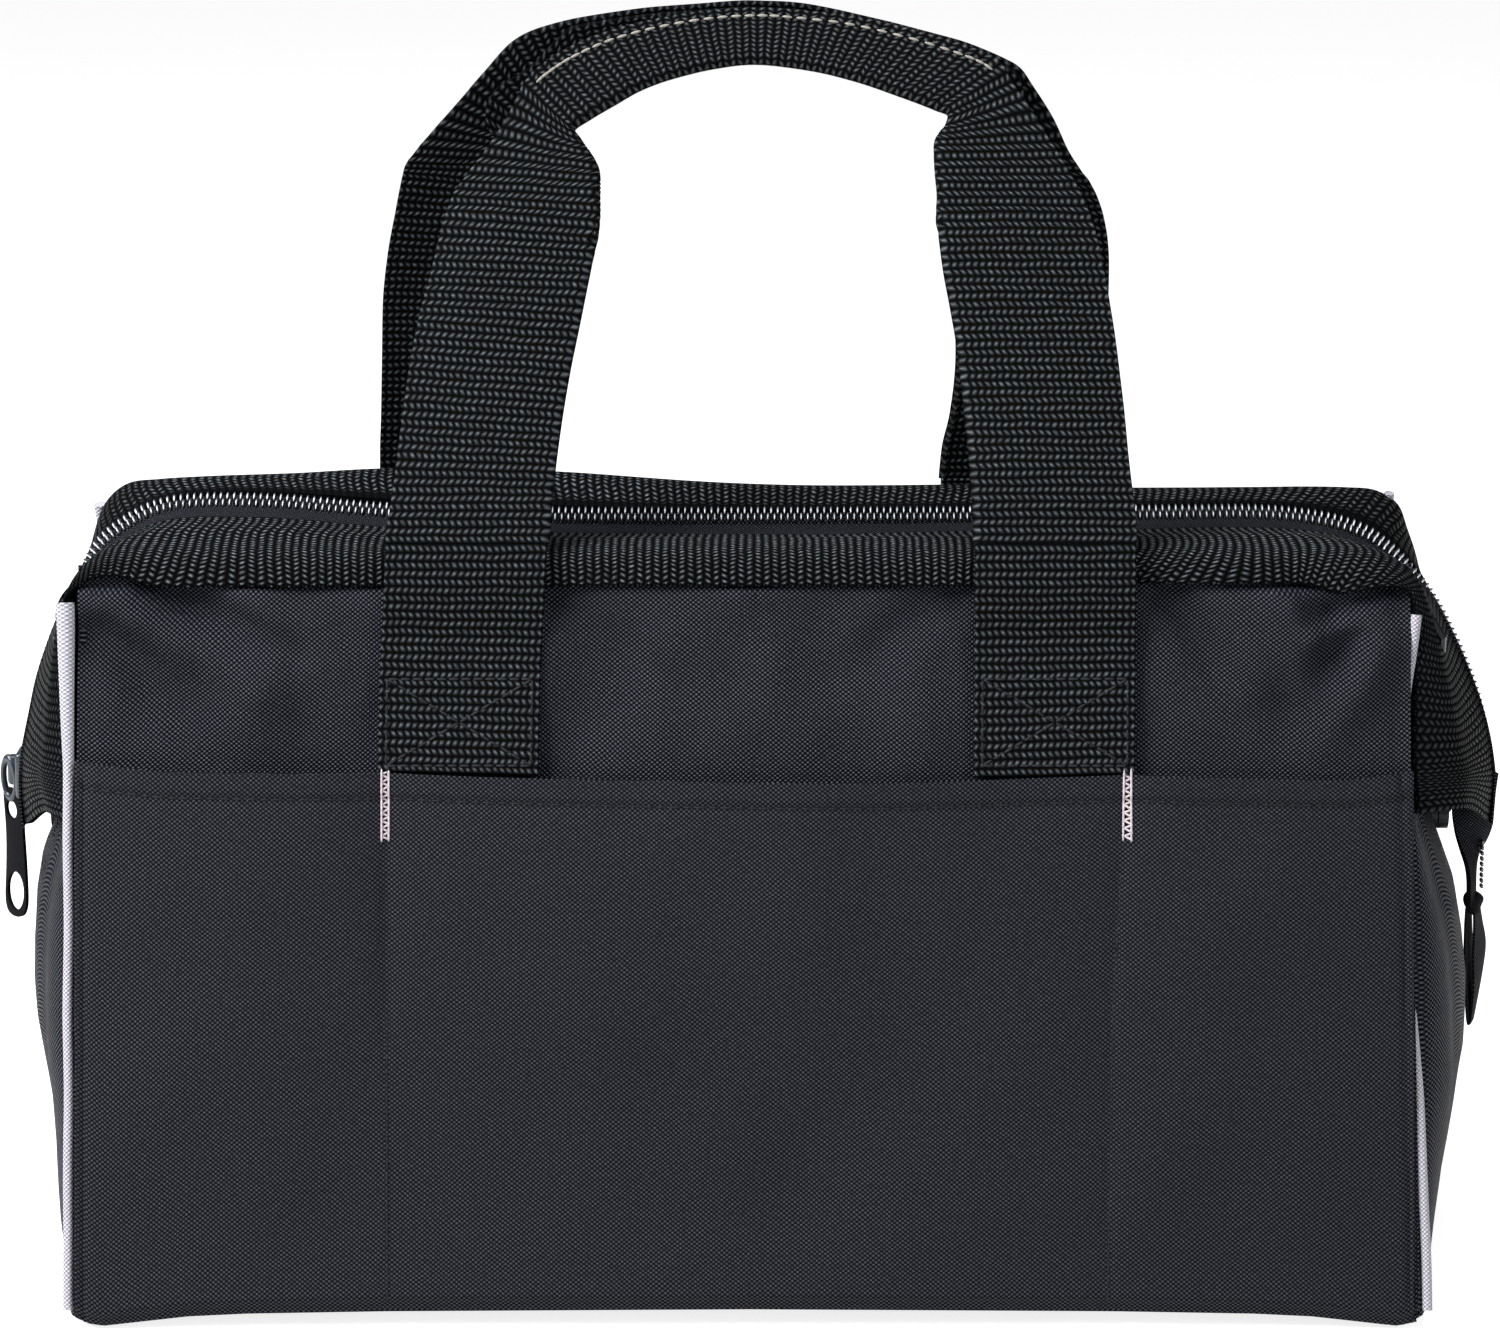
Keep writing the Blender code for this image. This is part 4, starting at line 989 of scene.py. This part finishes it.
REAR_ROWS = tenths((
    (-550, 1796, -932, 1796), (-548, 1830, -930, 1830), (-546, 1890, -928, 1890), (-543, 1949, -924, 1949),
    (-533, 2110, -915, 2117), (-525, 2260, -907, 2271), (-511, 2375, -890, 2397), (-495, 2465, -869, 2497),
    (-475, 2545, -848, 2591), (-469, 2600, -837, 2622), (-475, 2640, -812, 2656), (-490, 2662, -764, 2713),
    (-500, 2680, -706, 2779), (-495, 2705, -641, 2855), (-455, 2745, -562, 2937), (-400, 2790, -462, 2976),
    (-270, 2862, -287, 3009), (-110, 2890, -113, 3024), (6, 2900, 6, 3031), (135, 2890, 145, 3021),
    (275, 2858, 320, 2982), (420, 2800, 496, 2934), (480, 2765, 578, 2904), (505, 2740, 647, 2868),
    (510, 2715, 685, 2818), (505, 2690, 735, 2739), (500, 2655, 772, 2661), (497, 2610, 803, 2611),
    (495, 2565, 830, 2575), (497, 2520, 850, 2535), (502, 2460, 868, 2480), (508, 2385, 882, 2397),
    (512, 2240, 886, 2245), (516, 2100, 888, 2100), (505, 1975, 880, 1975), (488, 1890, 868, 1890),
    (482, 1830, 864, 1830), (480, 1796, 862, 1796),
))
HANDLE_STEPS = 360
HANDLE_COLUMNS = 48
HANDLE_DEPTH = 0.0403
HANDLE_FOOT = 0.1809
HANDLE_LEAN = 0.3039
FOLD_RADIUS = 0.0013
GRIP_FOOT = 0.270
GRIP_THREAD = 0.00075
GRIP_STITCHES = 36


def handle_row(side, rows, share):
    """A row's inner and outer ends on the plane that the handle leans in, and that plane's outward direction."""
    row = curve_at(rows, share)
    inner, outer = (Vector((x, SIDES[side] * (HANDLE_DEPTH - HANDLE_LEAN * (z - HANDLE_FOOT)), z))
                    for x, z in (row[:2], row[2:]))
    return inner, outer, Vector((0, SIDES[side], HANDLE_LEAN)).normalized()


def handle_point(side, rows, share, across):
    """across runs from 0 at the outer edge to 1 at the inner edge.
    Where a row is narrower than the strap, the strap turns round its inner end and runs back behind."""
    inner, outer, face = handle_row(side, rows, share)
    width = (outer - inner).length
    towards = (outer - inner) / width
    tuck = STRAP_THICKNESS / 2 * (1 - ease(0.0340, 0.0372, width))
    inner, width = inner + towards * tuck, width - tuck
    width += FOLD_RADIUS * ease(0.0340, 0.0372, width)
    flat = width - FOLD_RADIUS
    bend = math.pi * FOLD_RADIUS
    total = max(min(STRAP_WIDTH, 2 * flat + bend - 0.0006), width if width > 0.036 else 0.0)
    t = across * total
    rise = ease(0.181, 0.190, inner.z)
    lift = 0.0004 * rise * soft_noise(share * 50, across * 2, SIDES[side] * 5.0)
    crown = 0.0006 * rise * math.sin(math.pi * across) if width > 0.036 else 0.0
    if t <= flat:
        return outer - towards * t + face * (lift + crown)
    centre = inner + towards * FOLD_RADIUS - face * FOLD_RADIUS
    if t <= flat + bend:
        angle = (t - flat) / FOLD_RADIUS - math.pi / 2
        return centre - towards * FOLD_RADIUS * math.cos(angle) - face * (FOLD_RADIUS * math.sin(angle) - lift)
    return centre - face * (FOLD_RADIUS - lift) + towards * (t - flat - bend)


# Off-white spun thread on the grips.
white_thread = two_tone("off_white_polyester_thread", 0.6, "#55534E", "#A9A69C", 2200.0)
for side, rows, grip_ends in (("front", FRONT_ROWS, (-0.0528, 0.0601)), ("rear", REAR_ROWS, (-0.0560, 0.0600))):
    middle_line = [((a + c) / 2, (b + d) / 2) for a, b, c, d in rows]
    handle_shares, handle_run = even_shares(middle_line, HANDLE_STEPS)

    def webbing_point(u, v):
        return handle_point(side, rows, handle_shares[round(v * HANDLE_STEPS)], u)

    handle = lay_grid(side + "_handle_webbing", HANDLE_COLUMNS, HANDLE_STEPS, webbing_point, STRAP_WIDTH,
                      handle_run * 1.08)
    thicken(handle, STRAP_THICKNESS, (0, SIDES[side], 0.3), 0.0)
    apply_change(handle, "BEVEL", width=STRAP_EDGE, segments=2, limit_method="ANGLE", angle_limit=math.radians(60))
    handle.data.materials.append(strap_webbing)
    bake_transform(handle)
    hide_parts(side + "_handle")
    sewn = []
    for share in handle_shares:
        x, z = curve_at(rows, share)[2:]
        if z > GRIP_FOOT and grip_ends[0] < x < grip_ends[1]:
            sewn.append(share)
    grip_stitches = []
    for k in range(GRIP_STITCHES):
        ends = [sewn[0] + (sewn[-1] - sewn[0]) * (k + part) / GRIP_STITCHES for part in (0.08, 0.88)]
        a, b = (handle_point(side, rows, share, 0.075) for share in ends)
        face = handle_row(side, rows, ends[0])[2]
        grip_stitches.append(((a + b) / 2 + face * (STRAP_THICKNESS / 2 + 0.0001), (b - a).normalized(), face))
    grip_row = sew(side + "_grip_stitches", grip_stitches, STITCH_LENGTH, GRIP_THREAD, white_thread)
    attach(grip_row, side + "_handle")

# Slider and pull
# A die-cast zinc slider with dark blue-grey paint: two plates, of which the top one carries a crown.
# A flat pull hangs from the crown on a wire link, close beside the flap.
SLIDER_BLOCKS = (
    ((0.0026, 0.0102, 0.0116), (-0.1797, 0, 0.1136)),
    ((0.0034, 0.0032, 0.0076), (-0.1816, 0, 0.1143)),
)
PULL_X = -0.1821
PULL_Y = -0.0010
PULL_TURN = math.radians(44)
PULL_THICKNESS = 0.0003
PULL_EDGE = 0.00018
SLIDER_EDGE = 0.0011
LINK_RADIUS = 0.0040
LINK_WIRE = 0.00090
LINK_HEIGHT = 0.1122
OUTLINE_STEPS = 24
PULL_OUTLINE = tenths((
    (18, 1096), (31, 1086), (33, 1062), (32, 980), (37, 880), (40, 826), (37, 796), (26, 778), (8, 771),
))


def oval(half_width, low, high, centre=0.0, count=24):
    """Points round an oval hole."""
    middle, half = (low + high) / 2, (high - low) / 2
    return [(centre + half_width * math.cos(2 * math.pi * k / count), middle + half * math.sin(2 * math.pi * k / count))
            for k in range(count)]


def turned(across, height, out):
    """A place on the pull: it hangs beside the slider, turned by its angle from the front."""
    centre = PULL_X + 0.0004 * math.sin((height - 0.077) / 0.032 * math.pi)
    return Vector((centre + across * math.cos(PULL_TURN) + out * math.sin(PULL_TURN),
                   PULL_Y - across * math.sin(PULL_TURN) + out * math.cos(PULL_TURN), height))


# Paint over zinc: smooth, with a soft highlight and a faint unevenness.
slider_paint = two_tone("painted_zinc", 0.3, "#22272E", "#3B434D", 600.0, 3.0, (0.00004, 0.5),
                        Metallic=0.35, Coat_Weight=0.3, Coat_Roughness=0.2)
# The pull's paint is flatter, and nearly black.
pull_paint = two_tone("flat_black_painted_zinc", 0.6, "#090A0C", "#121317", 500.0, 3.0, Specular_IOR_Level=0.05)
dress("slider_base", slider_paint)
slider_parts = []
for size, place in SLIDER_BLOCKS:
    block = add_shape(bpy.ops.mesh.primitive_cube_add,
                      lambda *corner: [c * s + p for c, s, p in zip(corner, size, place)], size=1)
    apply_change(block, "BEVEL", width=SLIDER_EDGE, segments=4, limit_method="ANGLE")
    slider_parts.append(block)
slider_top, crown = slider_parts
slider_top.name = "slider_top"
apply_change(slider_top, "BOOLEAN", operation="UNION", object=crown)
bpy.data.objects.remove(crown)
smooth(slider_top, 40)
slider_top.data.materials.append(slider_paint)
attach(slider_top, "zip_slider")
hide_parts("slider_crown")

right_side = [curve_at(PULL_OUTLINE, k / OUTLINE_STEPS) for k in range(OUTLINE_STEPS + 1)]
rim = [(x, z) for x, z in right_side] + [(-x, z) for x, z in reversed(right_side)]
pull_curve = bpy.data.curves.new("pull_plate", "CURVE")
pull_curve.dimensions = "2D"
pull_curve.fill_mode = "BOTH"
pull_curve.extrude = PULL_THICKNESS
pull_curve.bevel_depth = PULL_EDGE
pull_curve.bevel_resolution = 2
for loop in (rim, oval(0.0033, 0.0785, 0.0886), oval(0.0022, 0.1018, 0.1068, -0.0006)):
    spline = pull_curve.splines.new("POLY")
    spline.points.add(len(loop) - 1)
    for point, (x, z) in zip(spline.points, loop):
        point.co = (x, z, 0.0, 1.0)
    spline.use_cyclic_u = True
pull = bpy.data.objects.new("pull_plate", pull_curve)
bpy.context.scene.collection.objects.link(pull)
select_only(pull)
bpy.ops.object.convert(target="MESH")
for vertex in pull.data.vertices:
    vertex.co = turned(*vertex.co)
mend_mesh(pull, merge=True)
smooth(pull, 40)
link = add_shape(bpy.ops.mesh.primitive_torus_add,
                 lambda x, y, z: turned(x * 0.62 - 0.0008, LINK_HEIGHT + y * 1.25, z),
                 major_segments=40, minor_segments=10, major_radius=LINK_RADIUS, minor_radius=LINK_WIRE)
link.name = "pull_ring"
smooth(link, 60)
for piece, node, paint in ((pull, "pull_tab", pull_paint), (link, "pull_link", slider_paint)):
    piece.data.materials.append(paint)
    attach(piece, "zip_pull")
    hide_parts(node)

# Zip tail
# The zip's spare end hangs free below the right flap, turned edge-on to the front, with its last bit folded and sewn.
# Each place of a ribbon's line has its half width and its turn from edge-on, in degrees.
TAIL = (
    ((0.1800, 0.1130), (0.0052, 80)), ((0.1792, 0.1085), (0.0056, 78)), ((0.1791, 0.1040), (0.0057, 72)),
    ((0.1794, 0.0995), (0.0056, 62)), ((0.1796, 0.0955), (0.0054, 44)), ((0.1795, 0.0918), (0.0053, 24)),
    ((0.1795, 0.0880), (0.0053, 15)), ((0.1796, 0.0830), (0.0052, 14)), ((0.1797, 0.0788), (0.0050, 16)),
)
FOLDED_END = (
    ((0.1785, 0.0800), (0.0048, 14)), ((0.1786, 0.0740), (0.0052, 16)), ((0.1790, 0.0640), (0.0052, 18)),
    ((0.1795, 0.0540), (0.0048, 16)), ((0.1797, 0.0505), (0.0044, 14)), ((0.1800, 0.0500), (0.0044, 14)),
    ((0.1803, 0.0512), (0.0044, 14)), ((0.1812, 0.0590), (0.0049, 18)), ((0.1815, 0.0680), (0.0052, 24)),
    ((0.1810, 0.0745), (0.0050, 18)), ((0.1804, 0.0800), (0.0046, 14)),
)
TAIL_CUP = 0.0007
TAIL_THICKNESS = 0.0012
FOLD_CUP = 0.0003
FOLD_THICKNESS = 0.0006
TAIL_TURNS = 9
TAIL_TURN_TOP = 0.0958
TAIL_TURN_PITCH = 0.0014


def ribbon_point(line, cup, u, v):
    """A ribbon hanging in the middle plane, a little cupped across."""
    at = curve_at([place for place, _ in line], v)
    half, degrees = curve_at([measure for _, measure in line], v)
    turn = math.radians(degrees)
    side = Vector((math.sin(turn), math.cos(turn), 0))
    face = Vector((math.cos(turn), -math.sin(turn), 0))
    return Vector((at.x, 0, at.y)) + side * half * (2 * u - 1) + face * cup * (1 - (2 * u - 1) ** 2)


def knot_point(x, y, z):
    """The lump where the tail's end is folded and sewn, with a twist round it."""
    swirl = 1 + 0.18 * math.sin(3 * z + 2 * math.atan2(y, x))
    return 0.1797 + 0.0024 * x * swirl, 0.0046 * y * swirl, 0.0802 + 0.0030 * z


tail = lay_grid("zip_tail_tape", 14, 90, lambda u, v: ribbon_point(TAIL, TAIL_CUP, u, v), 0.011, 0.035)
thicken(tail, TAIL_THICKNESS, (1, 0, 0))
folded_end = lay_grid("zip_tail_folded_end", 12, 90, lambda u, v: ribbon_point(FOLDED_END, FOLD_CUP, u, v), 0.010, 0.06)
thicken(folded_end, FOLD_THICKNESS, offset=0.0)
knot = add_shape(bpy.ops.mesh.primitive_uv_sphere_add, knot_point, segments=24, ring_count=16, radius=1.0)
knot.name = "zip_tail_fold"
smooth(knot, 70)
for piece in (tail, folded_end, knot):
    piece.data.materials.append(zip_tape_cloth)
    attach(piece, "bag_body")
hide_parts("right_zip_tail")
tail_head, tail_foot = TAIL[0][0][1], TAIL[-1][0][1]
tail_turns = []
for k in range(TAIL_TURNS):
    z = TAIL_TURN_TOP - TAIL_TURN_PITCH * k
    at = ribbon_point(TAIL, TAIL_CUP, 0.5, (tail_head - z) / (tail_head - tail_foot))
    tail_turns.append((Vector((at.x + 0.0013, -0.0004, z)), Vector((0, 1, 0)), Vector((1, 0, 0))))
tail_coil = sew("zip_tail_turns", tail_turns, 0.0040, 0.0011, coil_nylon)
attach(tail_coil, "bag_body")

# Frame wires and rivets
# Spring-steel wires stiffen the mouth and turn on a steel rivet at each end, inside the flaps.
# The wires are the CAD's own, and the rivets are drawn smaller, as they don't show in the photograph.
RIVET_RADIUS = 0.0020
RIVET_LENGTH = 0.0092
RIVET_X = 0.1688
RIVET_HEIGHT = 0.1054
RIVET_EDGE = 0.0005
# Black oxide on steel: nearly black, with a dull metal shine and fine scratches.
black_steel = two_tone("black_oxide_steel", 0.42, "#0F1012", "#2B2D31", 1500.0, 3.0, Metallic=0.7)
for node in ("front_frame_wire", "rear_frame_wire"):
    dress(node, black_steel)
for end in ENDS:
    rivet = add_shape(bpy.ops.mesh.primitive_cylinder_add,
                      lambda x, y, z: (ENDS[end] * (RIVET_X + z), y, RIVET_HEIGHT + x),
                      vertices=32, radius=RIVET_RADIUS, depth=RIVET_LENGTH)
    rivet.name = end + "_rivet"
    if end == "left":
        rivet.data.flip_normals()
    apply_change(rivet, "BEVEL", width=RIVET_EDGE, segments=3, limit_method="ANGLE")
    smooth(rivet)
    rivet.data.materials.append(black_steel)
    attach(rivet, "bag_body")
    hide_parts(end + "_hinge_rivet")

# Studio
# A plain white floor and backdrop, soft lamps above and in front, and a long lens at the photograph's angle.
# The floor and the sky look white to the camera, and light the bag less than that.
FLOOR_SIZE = 8
FLOOR_HEIGHT = -0.0034
FLOOR_GLOW = 0.82
SKY_LIGHT = 0.14
floor_finish, floor_shader = new_material("white_floor", 0.9, Base_Color=linear("#C8C8C8"))
rays = add_node(floor_finish, "ShaderNodeLightPath").outputs
seen = calculate(floor_finish, "MAXIMUM", rays["Is Camera Ray"], rays["Is Glossy Ray"])
glow = add_node(floor_finish, "ShaderNodeEmission", {"Color": (1, 1, 1, 1), "Strength": FLOOR_GLOW}).outputs[0]
blank = add_node(floor_finish, "ShaderNodeAddShader", {0: glow, 1: floor_shader.outputs[0]}).outputs[0]
choice = add_node(floor_finish, "ShaderNodeMixShader", {0: seen, 1: floor_shader.outputs[0], 2: blank}).outputs[0]
connect(floor_finish.node_tree.nodes["Material Output"], "Surface", choice)
deselect()
bpy.ops.mesh.primitive_plane_add(size=FLOOR_SIZE, location=(0, 0, FLOOR_HEIGHT))
floor = bpy.context.object
floor.name = "studio_floor"
floor.data.materials.append(floor_finish)

world = bpy.data.worlds.new("studio_world")
bpy.context.scene.world = world
world.use_nodes = True
sky = world.node_tree.nodes["Background"]
sky.inputs["Color"].default_value = (1, 1, 1, 1)
camera_ray = add_node(world, "ShaderNodeLightPath").outputs["Is Camera Ray"]
connect(sky, "Strength", remap(world, camera_ray, 0.0, 1.0, SKY_LIGHT, 1.0))


def add_lamp(name, place, aim, size, power):
    lamp_data = bpy.data.lights.new(name, "AREA")
    lamp_data.shape = "RECTANGLE"
    lamp_data.size, lamp_data.size_y = size
    lamp_data.energy = power
    lamp = bpy.data.objects.new(name, lamp_data)
    lamp.location = place
    lamp.rotation_euler = (Vector(aim) - Vector(place)).to_track_quat("-Z", "Y").to_euler()
    bpy.context.scene.collection.objects.link(lamp)


add_lamp("key_lamp", (-1.0, -0.55, 1.15), (0, 0, 0.12), (0.9, 0.9), 44)
add_lamp("fill_lamp", (1.2, -1.0, 0.7), (0, 0, 0.12), (0.5, 0.7), 8)
add_lamp("top_lamp", (0, -0.1, 1.7), (0, 0, 0.1), (0.9, 0.5), 16)

camera_data = bpy.data.cameras.new("photo_camera")
camera_data.sensor_width = 36
camera_data.lens = 127.1
camera_data.clip_start = 0.05
camera = bpy.data.objects.new("photo_camera", camera_data)
camera.location = (0, -1.2689, 0.4338)
camera.rotation_euler = (math.radians(77), 0, 0)
bpy.context.scene.collection.objects.link(camera)
bpy.context.scene.camera = camera
bpy.context.scene.view_settings.view_transform = "Standard"
